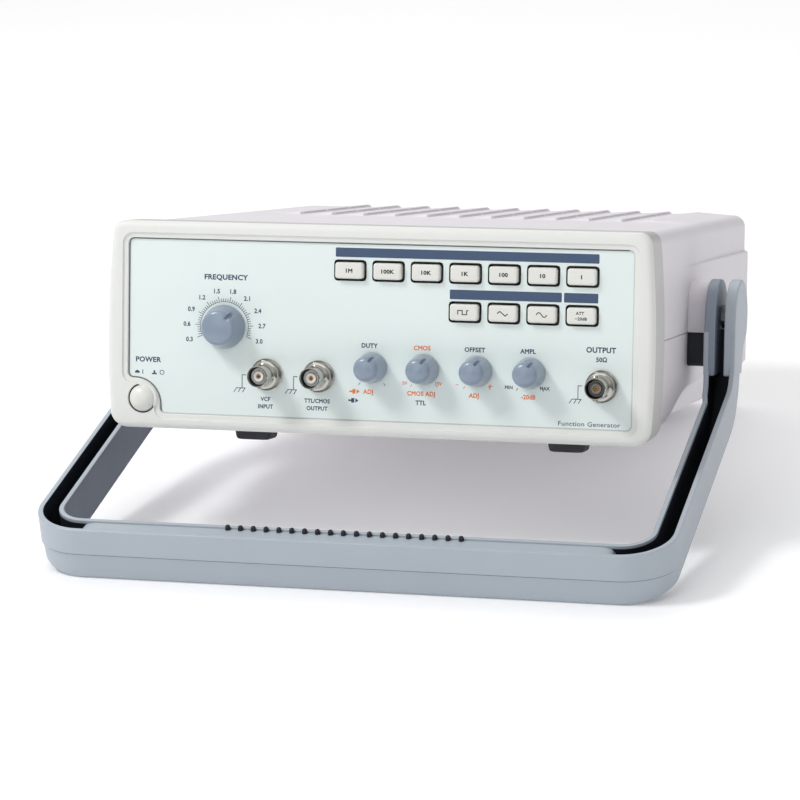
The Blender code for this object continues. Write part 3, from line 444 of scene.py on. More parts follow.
def build_bezel():
    """Moulded front frame: rounded outside, two steps round the window, and the power button's hole."""
    mesh = bmesh.new()
    # The third figure picks the look: painted shadow along the rear edge, a painted-shade band down the sides,
    # then the plain front.
    outside = [(BEZEL_REAR, 1.0, 2), (BEZEL_REAR - 0.4, 0.5, 2), (BEZEL_REAR - 1.1, 0.3, 1), (12.0, 0.15, 1),
               (3.0, 0.02, 1), (0.6, 0.0, 0), (-0.5, 0.2, 0), (-1.2, 0.65, 0), (-1.75, 1.35, 0),
               (-2.08, 2.2, 0), (BEZEL_FRONT, 3.1, 0)]
    outer = [ring_at(mesh, bezel_ring(inset), y) for y, inset, look in outside]
    for ring, other, station in zip(outer, outer[1:], outside):
        bridge(mesh, ring, other, station[2])
    edge = window_path()
    steps = [(BEZEL_FRONT, 2.75), (-2.14, 2.55), (-1.95, 2.4), (-1.45, 2.3), (-1.3, 2.1), (-1.28, 0.5),
             (-1.15, 0.25), (-0.85, 0.12), (-0.1, 0.1)]
    inner = loft(mesh, [standing(offset_path(edge, grow), y) for y, grow in steps], caps=False)
    hole_steps = ((BEZEL_FRONT, 6.95), (-2.05, 6.75), (-1.8, 6.66), (6.0, 6.6))
    hole = [ring_at(mesh, circle(POWER_SPOT, radius, 48), y) for y, radius in hole_steps]
    bridge_all(mesh, hole)
    flat_with_holes(mesh, [outer[-1], inner[0], hole[0]])
    back_ring = ring_at(mesh, bezel_ring(2.9), BEZEL_REAR)
    bridge(mesh, outer[0], back_ring)
    front_ring = ring_at(mesh, bezel_ring(2.9), -0.1)
    bridge(mesh, back_ring, front_ring)
    back_hole = ring_at(mesh, circle(POWER_SPOT, 7.6, 48), -0.1)
    sleeve = ring_at(mesh, circle(POWER_SPOT, 7.6, 48), 6.0)
    bridge(mesh, hole[-1], sleeve)
    bridge(mesh, sleeve, back_hole)
    flat_with_holes(mesh, [front_ring, inner[-1], back_hole])
    seam_painted_shade = bmesh.new()
    seam_steps = ((-0.12, 0.1), (-0.12, -0.42), (0.02, -0.46), (0.02, 0.1))
    bridge_round(seam_painted_shade, [ring_at(seam_painted_shade, offset_path(edge, grow), y) for y, grow in seam_steps])
    # Painted light and shade: the seam is dark along the top and left, where the inset panel's edge is shaded, and
    # light along the right and the bottom.
    for face in seam_painted_shade.faces:
        middle = face.calc_center_median()
        face.material_index = int(middle.x > 113.0 or middle.z < 8.0)
    finish_piece("window_seam", seam_painted_shade, ["seam_painted_shade", "seam_painted_light"], "case", sharp=50.0)
    finish_piece("bezel_frame", mesh, ["bezel", "bezel_side_painted_shade", "seam_painted_shade"], "case",
                 ["front_bezel"], sharp=40.0)


# ---------------- covers
def blend01(value, start, end):
    """A smooth step from 0 to 1."""
    t = min(1.0, max(0.0, (value - start) / (end - start)))
    return t * t * (3 - 2 * t)


def louvre_path(height, rise):
    """Saw-tooth across the top, left to right: each tooth climbs gently and drops at a rounded lip."""
    points = []
    for index in range(LOUVRE_COUNT):
        start = LOUVRE_FIRST_X + LOUVRE_PITCH * index
        for across, share in ((0.3, 0.0), (7.8, 0.42), (14.2, 0.93), (15.2, 1.0), (15.7, 0.85)):
            points.append((start + across, height + rise * share))
    return points


def top_section(y, rise, inset, inner=0.0):
    """The top cover's section at y, from the left parting line over the top to the right one."""
    step = 1.8 * blend01(y, 70.0, 200.0)
    belt = BELT_HALF - inset - inner
    upper = belt - step
    radius = 6.0 - min(inner, WALL)
    top = COVER_TOP - inset - inner
    left = [(-belt + 0.35, PARTING_LINE), (-belt, PARTING_LINE + 0.4), (-belt, 58.0),
            (-belt, STEP_LINE - 0.2), (-belt + step * 0.15, STEP_LINE + 0.25),
            (-upper - step * 0.1, STEP_LINE + 0.75), (-upper, STEP_LINE + 1.3)]
    left += arc((-upper + radius, top - radius), radius, 180, 90, 8)
    return left + louvre_path(top, rise) + mirrored(left)


def bottom_section(y, inset, inner=0.0):
    """The bottom cover's section at y; its corners turn from round to a wide chamfer."""
    share = blend01(y, 60.0, 116.0)
    belt = BELT_HALF - inset - inner
    low = COVER_BOTTOM + inset + inner
    left = [(-belt + 0.35, PARTING_LINE - 0.3), (-belt, PARTING_LINE - 0.7), (-belt, 30.0)]
    round_corner = arc((-belt + 8.0, low + 8.0), 8.0, 180, 270, 10)
    chamfer_low = 107.0 - inset - inner * 0.5
    for index, (x, z) in enumerate(round_corner):
        t = index / 10
        ease = 0.5 - 0.5 * math.cos(math.pi * t)
        wide = 0.12 * t + 0.88 * ease
        across = -belt + (belt - chamfer_low) * wide
        up = low + (18.4 - COVER_BOTTOM) * (1 - wide)
        left.append((x + (across - x) * share, z + (up - z) * share))
    return left + [(-40.0, low), (0.0, low), (40.0, low)] + mirrored(left)


def build_shell(name, section, stations, node):
    """An open shell cover, lofted through stations of (y, section arguments)."""
    mesh = bmesh.new()
    rows = [ring_at(mesh, section(y, *values), y) for y, values in stations]
    inner_rows = [ring_at(mesh, section(y, *values, inner=WALL), y) for y, values in stations]
    bridge_all(mesh, rows, closed=False)
    bridge_all(mesh, inner_rows, closed=False)
    for end in (0, -1):
        bridge(mesh, rows[end], inner_rows[end], closed=False)
    for row, other, inside, other_inside in zip(rows, rows[1:], inner_rows, inner_rows[1:]):
        for edge in (0, -1):
            mesh.faces.new((row[edge], other[edge], other_inside[edge], inside[edge]))
    finish_piece(name, mesh, ["cover"], "case", [node], sharp=28.0)


def build_covers():
    """Upper and lower case shells."""
    start = BEZEL_REAR + 0.3
    plain = [(start, (0.0, 0.35)), (start + 0.4, (0.0, 0.0))]
    plain += [(y, (0.0, 0.0)) for y in (50.0, 70.0, 85.0, 100.0, 120.0, 135.0, 150.0)]
    ribbed = [(150.8, (0.5, 0.0)), (152.2, (1.25, 0.0))]
    ribbed += [(y, (LOUVRE_RISE, 0.0)) for y in (153.5, 180.0, 200.0, 240.0, 280.0)]
    ribbed += [(281.5, (1.2, 0.0)), (282.8, (0.5, 0.0))]
    rounding = [(283.6, (0.0, 0.0)), (284.8, (0.0, 0.25)), (285.6, (0.0, 0.8)), (COVER_REAR, (0.0, 1.5))]
    build_shell("upper_shell", top_section, plain + ribbed + rounding, "top_cover")
    lower = [(start, (0.35,)), (start + 0.4, (0.0,))]
    lower += [(y, (0.0,)) for y in (40.0, 56.0, *range(60, 117, 8), 150.0, 220.0, 283.6)]
    lower += [(284.8, (0.25,)), (285.6, (0.8,)), (COVER_REAR, (1.5,))]
    build_shell("lower_shell", bottom_section, lower, "bottom_cover")
    # thin strips at the louvres' lips stand in for the slots, in a colour a little darker than the cover: painted
    # shade
    slots = bmesh.new()
    for index in range(LOUVRE_COUNT):
        x = LOUVRE_FIRST_X + LOUVRE_PITCH * index + 15.92
        for low_y, high_y in ((158.0, 196.0), (200.0, 238.0), (242.0, 276.0)):
            outline = rounded(high_y - low_y, 0.9, 0.4, ((low_y + high_y) / 2, COVER_TOP + 0.55), 3)
            prism(slots, outline, x - 0.5, x + 0.1, "X")
    finish_piece("louvre_slots", slots, ["louvre_gap"], "case")


def build_rear_sheet():
    """The painted rear sheet, cut to the covers' inside, with the mains inlet's cut-out."""
    side = [(0.0, 4.8), (105.4, 4.8), (117.2, 21.1), (117.2, 72.9), (115.4, 74.4)]
    side += arc((111.9, 85.9), 3.5, 0, 90, 6) + [(0.0, 89.4)]
    outline = side + mirrored(side)[1:-1]
    cut_out = rounded(28.6, 22.6, 1.0, INLET_SPOT, 3)
    mesh = bmesh.new()
    faces = [[ring_at(mesh, loop, y) for loop in (outline, cut_out)] for y in (281.5, 283.0)]
    for front, back in zip(*faces):
        bridge(mesh, front, back)
    for loops in faces:
        flat_with_holes(mesh, loops)
    finish_piece("rear_sheet_metal", mesh, ["rear"], "case", ["rear_panel"])


def build_rear():
    """What sits on the rear sheet: screws, vent slots, the inlet's blades and the fuse holder."""
    screws = bmesh.new()
    for x, z in ((-106.0, 14.0), (106.0, 14.0), (-106.0, 80.0), (106.0, 80.0), (0.0, 80.0)):
        turned(screws, [(282.9, 0), (282.9, 3.0), (283.9, 2.9), (284.5, 2.3), (284.8, 1.4), (284.85, 0)],
               (x, z), segments=28)
        # each cross slot is a black prism: painted shade in the recess
        for wide, high in ((3.4, 0.6), (0.6, 3.4)):
            prism(screws, rounded(wide, high, 0.25, (x, z), 3), 284.6, 284.9, look=1)
    finish_piece("rear_screws", screws, ["steel", "gap"], "case")
    # the vent slots are black prisms on the sheet: painted shade in the openings
    vents = bmesh.new()
    for row in range(2):
        for index in range(14):
            spot = (6.0 + 6.4 * index, 36.0 + 22.0 * row)
            prism(vents, rounded(2.6, 17.0, 1.29, spot, 6), 282.4, 283.08)
    finish_piece("rear_vents", vents, ["gap"], "case")
    blades = bmesh.new()
    for spot in ((-81.0, 47.0), (-74.0, 51.0), (-67.0, 47.0)):
        prism(blades, rounded(2.3, 4.3, 0.5, spot, 3), 266.0, 278.2)
    finish_piece("inlet_blades", blades, ["gold"], "case", bevel=0.15)
    holder = bmesh.new()
    turned(holder, [(282.9, 0), (282.9, 7.4), (284.2, 7.4), (284.8, 6.9), (285.0, 5.9), (285.9, 5.7),
                    (286.1, 5.2), (286.1, 0)], FUSE_SPOT, segments=40)
    # the cap's slot is a black prism: painted shade in the recess
    prism(holder, rounded(7.5, 1.2, 0.3, FUSE_SPOT, 3), 285.9, 286.16, look=1)
    finish_piece("fuse_holder", holder, ["black", "gap"], "case")


def build_feet():
    """Four moulded rubber feet, each with a screw recess."""
    for end, y in FOOT_Y.items():
        for sign, side in SIDES:
            x = sign * FOOT_X
            mesh = bmesh.new()
            rings = []
            for z, inset in ((1.7, 0.0), (0.6, 0.1), (-7.6, 1.1), (-8.8, 1.4), (-9.4, 1.9), (FOOT_LOW, 2.6)):
                radius = max(0.6, 3.0 - 0.3 * inset)
                outline = rounded(FOOT_WIDTH - 2 * inset, FOOT_LENGTH - 2 * inset, radius, (x, y))
                rings.append([(px, py, z) for px, py in outline])
            made = loft(mesh, rings, caps=False)
            mesh.faces.new(made[0])
            recess = [ring_verts(mesh, [(px, py, z) for px, py in circle((x, y), radius, 24)])
                      for z, radius in ((FOOT_LOW, 3.6), (-9.3, 3.3), (-4.2, 3.1))]
            bridge_all(mesh, recess)
            mesh.faces.new(recess[-1]).material_index = 1
            flat_with_holes(mesh, [made[-1], recess[0]])
            finish_piece(f"rubber_foot_{end}_{side}", mesh, ["rubber", "steel"], "case",
                         [f"foot_{end}_{side}"], sharp=35.0)


# ---------------- print
class Print:
    """Flat printing on a plane that faces the user: text, bars and line symbols."""

    def __init__(self, face, thick=0.05):
        self.mesh = bmesh.new()
        self.front = face - thick
        self.face = face + 0.02

    def text(self, words, x, z, cap, squeeze=1.0, bold=0.036):
        """Words with their capitals' middle at z, cap millimetres tall."""
        curve = bpy.data.curves.new("letters", "FONT")
        curve.body = words
        curve.align_x = "CENTER"
        curve.space_character = 1.06
        curve.resolution_u = 3
        curve.bevel_depth = bold
        curve.bevel_resolution = 0
        holder = bpy.data.objects.new("letters", curve)
        bpy.context.scene.collection.objects.link(holder)
        bpy.context.view_layer.update()
        data = bpy.data.meshes.new_from_object(holder.evaluated_get(bpy.context.evaluated_depsgraph_get()))
        bpy.data.objects.remove(holder)
        bpy.data.curves.remove(curve)
        scale = cap / (0.69 + 2 * bold)
        before = set(self.mesh.verts)
        self.mesh.from_mesh(data)
        bpy.data.meshes.remove(data)
        for vert in self.mesh.verts:
            if vert not in before:
                up = (self.front + self.face) / 2 + vert.co.z / bold * (self.front - self.face) / 2
                across = x + vert.co.x * scale * squeeze
                vert.co = Vector((across, up, z - cap / 2 + (vert.co.y + bold) * scale))

    def shape(self, outline):
        """One filled outline."""
        prism(self.mesh, outline, self.front, self.face)

    def stroke(self, points, width, closed=False):
        """A line of a width along points, with mitred corners."""
        count = len(points)
        left, right = [], []
        for index, (x, z) in enumerate(points):
            ahead = points[(index + 1) % count] if closed or index < count - 1 else None
            behind = points[index - 1] if closed or index else None
            along = Vector((0.0, 0.0))
            parts = []
            if behind:
                parts.append(Vector((x - behind[0], z - behind[1])).normalized())
            if ahead:
                parts.append(Vector((ahead[0] - x, ahead[1] - z)).normalized())
            for piece in parts:
                along += piece
            along.normalize()
            side = Vector((-along.y, along.x))
            reach = width / 2 / max(0.5, along.dot(parts[0]))
            left.append((x + side.x * reach, z + side.y * reach))
            right.append((x - side.x * reach, z - side.y * reach))
        if not closed:
            self.shape(left + right[::-1])
            return
        corners = ((left, self.front), (left, self.face), (right, self.face), (right, self.front))
        bridge_round(self.mesh, [ring_at(self.mesh, side, y) for side, y in corners])

    def done(self, name, look, body="case"):
        """Turn the print into a piece."""
        finish_piece(name, self.mesh, [look], body, sharp=60.0)


def ground_symbol(ink, x, z):
    """Chassis ground: a stem, a bar and three slanted legs."""
    ink.stroke([(x + 3.4, z + 7.8), (x + 1.6, z + 7.8), (x + 1.6, z + 1.9)], 0.32)
    ink.stroke([(x - 1.1, z + 1.9), (x + 3.2, z + 1.9)], 0.32)
    for shift in (-1.0, 1.0, 3.0):
        ink.stroke([(x + shift, z + 1.9), (x + shift - 1.2, z)], 0.32)


def tick(ink, x, z, degrees, inside, outside):
    """A short radial line about a knob's axis."""
    angle = math.radians(degrees)
    ink.stroke([(x + r * math.cos(angle), z + r * math.sin(angle)) for r in (inside, outside)], 0.26)


def dial_scale(ink, x, z):
    """Ticks and numerals round the frequency dial."""
    numerals = ("0.3", "0.6", "0.9", "1.2", "1.5", "1.8", "2.1", "2.4", "2.7", "3.0")
    for index, numeral in enumerate(numerals):
        angle = math.radians(202.0 - 224.0 * index / 9)
        ink.text(numeral, x + 17.6 * math.cos(angle), z + 16.2 * math.sin(angle), 2.1, 0.92)
    for index in range(46):
        tick(ink, x, z, 202.0 - 224.0 * index / 45, 11.2, 13.6 if index % 5 == 0 else 12.6)
    ink.stroke(arc((x, z), 11.2, -22.0, 202.0, 60), 0.2)


def knob_ticks(ink, names):
    """The two tick marks under each of these small knobs."""
    for name in names:
        for degrees in (-128.0, -52.0):
            tick(ink, SMALL_KNOB_X[name], SMALL_KNOB_Z, degrees, 8.7, 8.7 + 1.3)


def pull_icon(ink, x, z):
    """A small knob outline with a pull arrow."""
    ink.shape([(x - 2.4, z - 0.35), (x - 1.0, z - 0.35), (x - 1.0, z - 1.0), (x + 0.4, z - 1.0),
               (x + 0.4, z + 1.0), (x - 1.0, z + 1.0), (x - 1.0, z + 0.35), (x - 2.4, z + 0.35)])
    ink.shape([(x + 0.9, z - 1.0), (x + 2.3, z), (x + 0.9, z + 1.0)])


def build_print():
    """Everything printed on the panel: generic words, numbers and symbols only."""
    dark = Print(0.0)
    dark.text("FREQUENCY", -70.1, 68.9, 2.45, 1.06)
    dial_scale(dark, *FREQUENCY_SPOT)
    dark.text("POWER", -106.4, 30.9, 2.4, 1.05)
    dark.shape([(-112.6, 24.6), (-110.4, 24.6), (-110.4, 25.3), (-111.5, 26.0), (-112.6, 25.3)])
    dark.stroke([(-108.9, 24.2), (-108.9, 26.2)], 0.35)
    dark.shape([(-104.6, 24.2), (-102.2, 24.2), (-102.2, 24.8), (-103.0, 24.8), (-103.0, 26.0),
                (-103.8, 26.0), (-103.8, 24.8), (-104.6, 24.8)])
    dark.stroke(circle((-99.8, 25.2), 0.95, 24), 0.3, closed=True)
    for x, z in ((-63.6, 17.6), (-39.6, 17.6), (89.8, 18.1)):
        ground_symbol(dark, x, z)
    for words, x, z in (("VCF", -51.0, 14.9), ("INPUT", -51.0, 11.6),
                        ("TTL/CMOS", -27.0, 14.9), ("OUTPUT", -27.0, 11.6)):
        dark.text(words, x, z, 1.9, 0.95)
    for words, x, z in (("DUTY", -3.2, 40.4), ("OFFSET", 44.8, 40.1), ("AMPL", 68.8, 40.2)):
        dark.text(words, x, z, 2.1, 0.97)
    dark.text("OUTPUT", 101.3, 41.8, 2.5, 0.98)
    dark.text("50Ω", 101.6, 37.6, 2.1, 0.98)
    pull_icon(dark, -10.2, 15.8)
    dark.text("TTL", 20.6, 15.8, 2.1, 0.95)
    dark.text("MIN", 60.4, 24.1, 1.6, 0.92)
    dark.text("MAX", 76.5, 24.1, 1.6, 0.92)
    knob_ticks(dark, ("duty", "amplitude"))
    dark.text("Function Generator", 96.5, 9.2, 2.0, 1.14, bold=0.008)
    dark.done("legend_dark", "ink")
    orange = Print(0.0)
    orange.text("CMOS", 20.9, 40.1, 2.1, 0.97)
    pull_icon(orange, -9.7, 19.8)
    for words, x in (("ADJ", -3.4), ("CMOS ADJ", 20.8), ("ADJ", 44.8)):
        orange.text(words, x, 19.9, 2.1, 0.95)
    orange.text("-20dB", 69.2, 20.1, 2.1, 0.92)
    orange.text("5V", 13.2, 24.3, 1.6, 0.92)
    orange.text("15V", 28.5, 24.5, 1.6, 0.92)
    for start, end in (((36.4, 24.4), (37.8, 24.4)), ((51.0, 24.2), (53.0, 24.2)),
                       ((52.0, 23.2), (52.0, 25.2))):
        orange.stroke([start, end], 0.3)
    knob_ticks(orange, ("cmos_level", "offset"))
    orange.done("legend_orange", "ink_orange")
    bars = Print(0.0)
    for left, right, low, high in ((-19.2, 99.8, 79.4, 83.5), (33.1, 83.4, 62.1, 66.3),
                                   (84.4, 99.6, 62.1, 66.3)):
        spot = ((left + right) / 2, (low + high) / 2)
        bars.shape(rounded(right - left, high - low, 0.45, spot, 4))
    bars.done("legend_bars", "ink_bar")


# ---------------- buttons
def wave_symbol(ink, name, x, z):
    """The mark on a waveform button's cap."""
    if name == "square_wave_button":
        ink.stroke([(x - 2.6, z - 0.9), (x - 2.6, z + 0.9), (x - 0.6, z + 0.9), (x - 0.6, z - 0.9),
                    (x + 1.4, z - 0.9), (x + 1.4, z + 0.9)], 0.42)
        ink.stroke([(x + 1.4, z + 0.9), (x + 2.2, z + 0.9)], 0.42)
    elif name == "triangle_wave_button":
        ink.stroke([(x - 2.4, z), (x - 1.2, z + 1.0), (x + 1.2, z - 1.0), (x + 2.4, z)], 0.42)
    elif name == "sine_wave_button":
        ink.stroke([(x - 2.4 + 4.8 * t / 20, z + math.sin(2 * math.pi * t / 20)) for t in range(21)], 0.42)
    else:
        ink.text("ATT", x - 0.4, z + 1.2, 1.4, 1.0, bold=0.035)
        ink.text("−20dB", x, z - 1.2, 1.4, 1.05, bold=0.035)


def build_buttons():
    """Push-button caps with their print, in wells of painted shade: a black liner and a thin black frame round
    each cap stand in for the shade in the gap.
    """
    labels = ("1M", "100K", "10K", "1K", "100", "10", "1")
    spots = []
    for index, label in enumerate(labels):
        x = RANGE_SPOT[0] + BUTTON_PITCH * index
        spots.append((f"range_button_{index + 1}", x, RANGE_SPOT[1], label))
    waves = ("square_wave_button", "triangle_wave_button", "sine_wave_button", "attenuator_button")
    for index, name in enumerate(waves):
        spots.append((name, WAVE_SPOT[0] + BUTTON_PITCH * index, WAVE_SPOT[1], None))
    wells = bmesh.new()
    well_steps = ((14.9, 9.4, 1.8, 3.2), (14.9, 9.4, 1.8, -0.02), (14.7, 9.2, 1.7, -0.14),
                  (14.3, 8.8, 1.6, -0.14), (14.1, 8.55, 1.5, 0.1), (14.1, 8.55, 1.5, 3.2))
    for name, x, z, label in spots:
        cap = bmesh.new()
        rings = []
        for y, inset, radius in ((4.0, 0.0, 1.25), (-1.9, 0.0, 1.25), (-2.35, 0.12, 1.2), (-2.62, 0.36, 1.1),
                                 (-2.78, 0.75, 0.9), (BUTTON_FACE, 1.2, 0.7)):
            rings.append(standing(rounded(12.8 - 2 * inset, 7.25 - 2 * inset, radius, (x, z)), y))
        made = loft(cap, rings, caps=False)
        cap.faces.new(made[-1])
        stem = [ring_at(cap, rounded(4.0, 3.0, 0.4, (x, z)), y) for y in (4.0, 9.0)]
        bridge(cap, stem[0], stem[1])
        cap.faces.new(stem[1])
        flat_with_holes(cap, [made[0], stem[0]])
        finish_piece(name + "_cap", cap, ["button"], name + "_body", [name], sharp=38.0)
        ink = Print(BUTTON_FACE, thick=0.04)
        if label:
            ink.text(label, x, z, 1.85, 1.15, bold=0.045)
        else:
            wave_symbol(ink, name, x, z)
        ink.done(name + "_mark", "ink_black", name + "_body")
        bridge_round(wells, [ring_at(wells, rounded(width, height, radius, (x, z)), y)
                             for width, height, radius, y in well_steps])
    finish_piece("button_wells", wells, ["gap"], "case", sharp=50.0)


def build_power_button():
    """Round domed power button."""
    mesh = bmesh.new()
    profile = [(5.0, 0), (5.0, 6.15), (-0.6, 6.15), (-1.3, 6.08), (-2.0, 5.86), (-2.7, 5.48), (-3.4, 4.9),
               (-4.0, 4.15), (-4.5, 3.2), (-4.85, 2.2), (-5.08, 1.15), (-5.15, 0)]
    turned(mesh, profile, POWER_SPOT, segments=64)
    finish_piece("power_cap", mesh, ["button"], "power_button_body", ["power_button"])
    # a black liner in the bezel's hole: painted shade in the gap round the button
    liner = bmesh.new()
    turned(liner, [(-1.2, 6.35), (-1.2, 6.62), (5.5, 6.62), (5.5, 6.35)], POWER_SPOT, segments=64)
    finish_piece("power_well", liner, ["gap"], "case")


# ---------------- knobs
def build_knob(name, body, x, z, base, face, height, bore, crown, mark_degrees):
    """A tapered moulded knob with a domed face, a small skirt and a pointer groove."""
    mesh = bmesh.new()
    crown_depth = 0.85 * crown
    brow = -height + crown
    side = [(-0.6, base), (-1.5, base + 0.02), (-2.0, base - 0.08)]
    for index in range(1, 9):
        t = index / 8
        side.append((-2.0 - (height - 2.0 - crown) * t, base - 0.1 - (base - face - 0.1) * t ** 1.12))
    rounding = []
    for index in range(1, 11):
        angle = math.radians(90 * index / 10)
        rounding.append((brow - crown_depth * math.sin(angle), face - crown * (1 - math.cos(angle))))
    flat = face - crown
    crest = [(brow - crown_depth - 0.5 * (1 - (k / 8) ** 2), flat * k / 8) for k in range(7, 0, -1)]
    tip = (brow - crown_depth - 0.5, 0)
    profile = [(-bore, 0), (-bore, 3.3), (-0.6, 3.3)] + side + rounding + crest + [tip]
    turned(mesh, profile, (x, z), segments=120)
    mark = math.radians(mark_degrees)
    pointing = Vector((math.cos(mark), math.sin(mark)))

    def from_mark(point):
        off_axis = Vector((point.x - x, point.z - z))
        return off_axis.length, off_axis.dot(pointing), off_axis.dot(Vector((-pointing.y, pointing.x)))

    for vert in mesh.verts:
        off_axis, along, across = from_mark(vert.co)
        if along < face * 0.62 or vert.co.y > -height * 0.55 or off_axis < 3.5:
            continue
        depth = math.exp(-(across / (face * 0.12)) ** 2) * min(1.0, (along - face * 0.62) / (face * 0.12))
        if depth > 0.02:
            vert.co.y += 0.55 * depth
            vert.co.x -= pointing.x * 0.4 * depth
            vert.co.z -= pointing.y * 0.4 * depth
    for look_face in mesh.faces:
        middle = look_face.calc_center_median()
        off_axis, along, across = from_mark(middle)
        if along > face * 0.68 and abs(across) < face * 0.115 and middle.y < -height * 0.58:
            look_face.material_index = 1
    finish_piece(name + "_moulding", mesh, ["knob", "knob_mark"], body, [name], sharp=42.0)


def build_knobs():
    """The frequency dial and the four small knobs."""
    build_knob("frequency_knob", "frequency_body", *FREQUENCY_SPOT, base=9.8, face=7.9, height=11.2, bore=8.8,
               crown=2.2, mark_degrees=47.0)
    for name, x in SMALL_KNOB_X.items():
        build_knob(f"{name}_knob", f"{name}_knob_body", x, SMALL_KNOB_Z, base=6.9, face=5.7, height=13.7,
                   bore=10.8, crown=3.1, mark_degrees=62.0)


# ---------------- connectors
def build_connector(name, x, insulator):
    """A BNC socket: flange, threaded root, bayonet sleeve with lugs, insulator and contact."""
    spot = (x, BNC_Z)
    shell = bmesh.new()
    profile = [(9.0, 4.0), (9.0, 4.6), (-0.3, 4.6), (-0.3, 7.0), (-0.5, 7.2), (-1.5, 7.2), (-1.75, 7.0),
               (-1.75, 6.5), (-2.1, 6.3), (-4.3, 6.3), (-4.6, 6.1), (-4.75, 5.4)]
    for index in range(4):
        start = -4.9 - 0.55 * index
        profile += [(start, 5.0), (start - 0.27, 4.72)]
    profile += [(-7.2, 4.8), (-14.6, 4.8), (-15.2, 4.72), (-15.5, 4.45), (-15.5, 4.2), (-15.3, 4.05),
                (-3.0, 4.05), (-3.0, 4.0)]
    turned(shell, profile, spot, segments=72)
    for degrees in (90.0, 270.0):
        angle = math.radians(degrees)
        base = Vector((x + 4.6 * math.cos(angle), -11.4, BNC_Z + 4.6 * math.sin(angle)))
        out = Vector((math.cos(angle), 0.0, math.sin(angle)))
        across = Vector((-out.z, 0.0, out.x))
        turns = [2 * math.pi * k / 20 for k in range(20)]
        round_lug = [across * math.cos(turn) + Vector((0, 1, 0)) * math.sin(turn) for turn in turns]
        steps = ((0.0, 0.95), (0.75, 0.95), (0.95, 0.8), (1.05, 0.5))
        loft(shell, [[base + out * reach + away * radius for away in round_lug] for reach, radius in steps])
    # the bore's inside faces take the black look: painted shade inside the sleeve
    for face in shell.faces:
        middle = face.calc_center_median()
        if math.hypot(middle.x - spot[0], middle.z - spot[1]) < 4.07 and middle.y > -15.25:
            face.material_index = 1
    finish_piece(name + "_shell", shell, ["nickel", "black"], "case", [name + "_bnc"], sharp=30.0)
    core = bmesh.new()
    turned(core, [(-3.3, 1.0), (-3.3, 3.8), (-11.8, 3.8), (-12.1, 3.6), (-12.2, 2.6), (-13.0, 2.45),
                  (-13.2, 2.25), (-13.2, 1.25), (-12.8, 1.0)], spot)
    finish_piece(name + "_dielectric", core, [insulator], "case", [name + "_insulator"],
                 sharp=35.0)
    pin = bmesh.new()
    turned(pin, [(-3.4, 0), (-3.4, 0.95), (-12.3, 0.95), (-12.6, 0.85), (-12.6, 0.5), (-9.0, 0.45),
                 (-9.0, 0)], spot, segments=24)
    finish_piece(name + "_socket", pin, ["gold"], "case", [name + "_contact"], sharp=35.0)


# ---------------- handle
def channel_section(lip, inward, normal, width, depth):
    """The handle's channel section at one station, closed, starting at the outer face's lip."""
    share = max(0.0, (depth - ARM_DEPTH) / (BAR_DEPTH - ARM_DEPTH))
    crease = 15.4 - 3.3 * share
    taper = 0.5 + 0.56 * (depth - ARM_DEPTH)
    thick = 2.4
    floor = ARM_DEPTH - thick
    foot = max(taper, 0.75)
    near = width - thick
    section = [(0.15, -0.25), (0.0, -0.7), (0.0, -crease + 0.5), (0.12, -crease + 0.12),
               (0.66, -crease - 0.1), (0.7, -crease - 0.5), (foot, -depth + 1.6), (foot + 0.4, -depth + 0.6),
               (foot + 1.1, -depth + 0.08), (foot + 2.0, -depth), (width - 1.6, -depth),
               (width - 0.6, -depth + 0.25), (width - 0.12, -depth + 0.8), (width, -depth + 1.6),
               (width, -0.7), (width - 0.15, -0.25), (width - 0.5, 0.0), (near + 0.5, 0.0),
               (near + 0.12, -0.2), (near, -0.7), (near, -1.5), (near, -floor), (thick, -floor),
               (thick, -1.5), (thick, -0.7), (thick - 0.12, -0.2), (thick - 0.5, 0.0), (0.5, 0.0)]
    return [tuple(lip + inward * across + normal * along) for across, along in section]


SECTION_LOOKS = {3: 2, 4: 2, 20: 1, 21: 1, 22: 1, 23: 1, 24: 1}    # painted shadow on the crease ledge, then the channel's inside
INNER_WALL = range(9, 15)        # section edges on the side that faces the case
INNER_WALL_X = 131.0             # beyond this, on the arms, they take painted shade


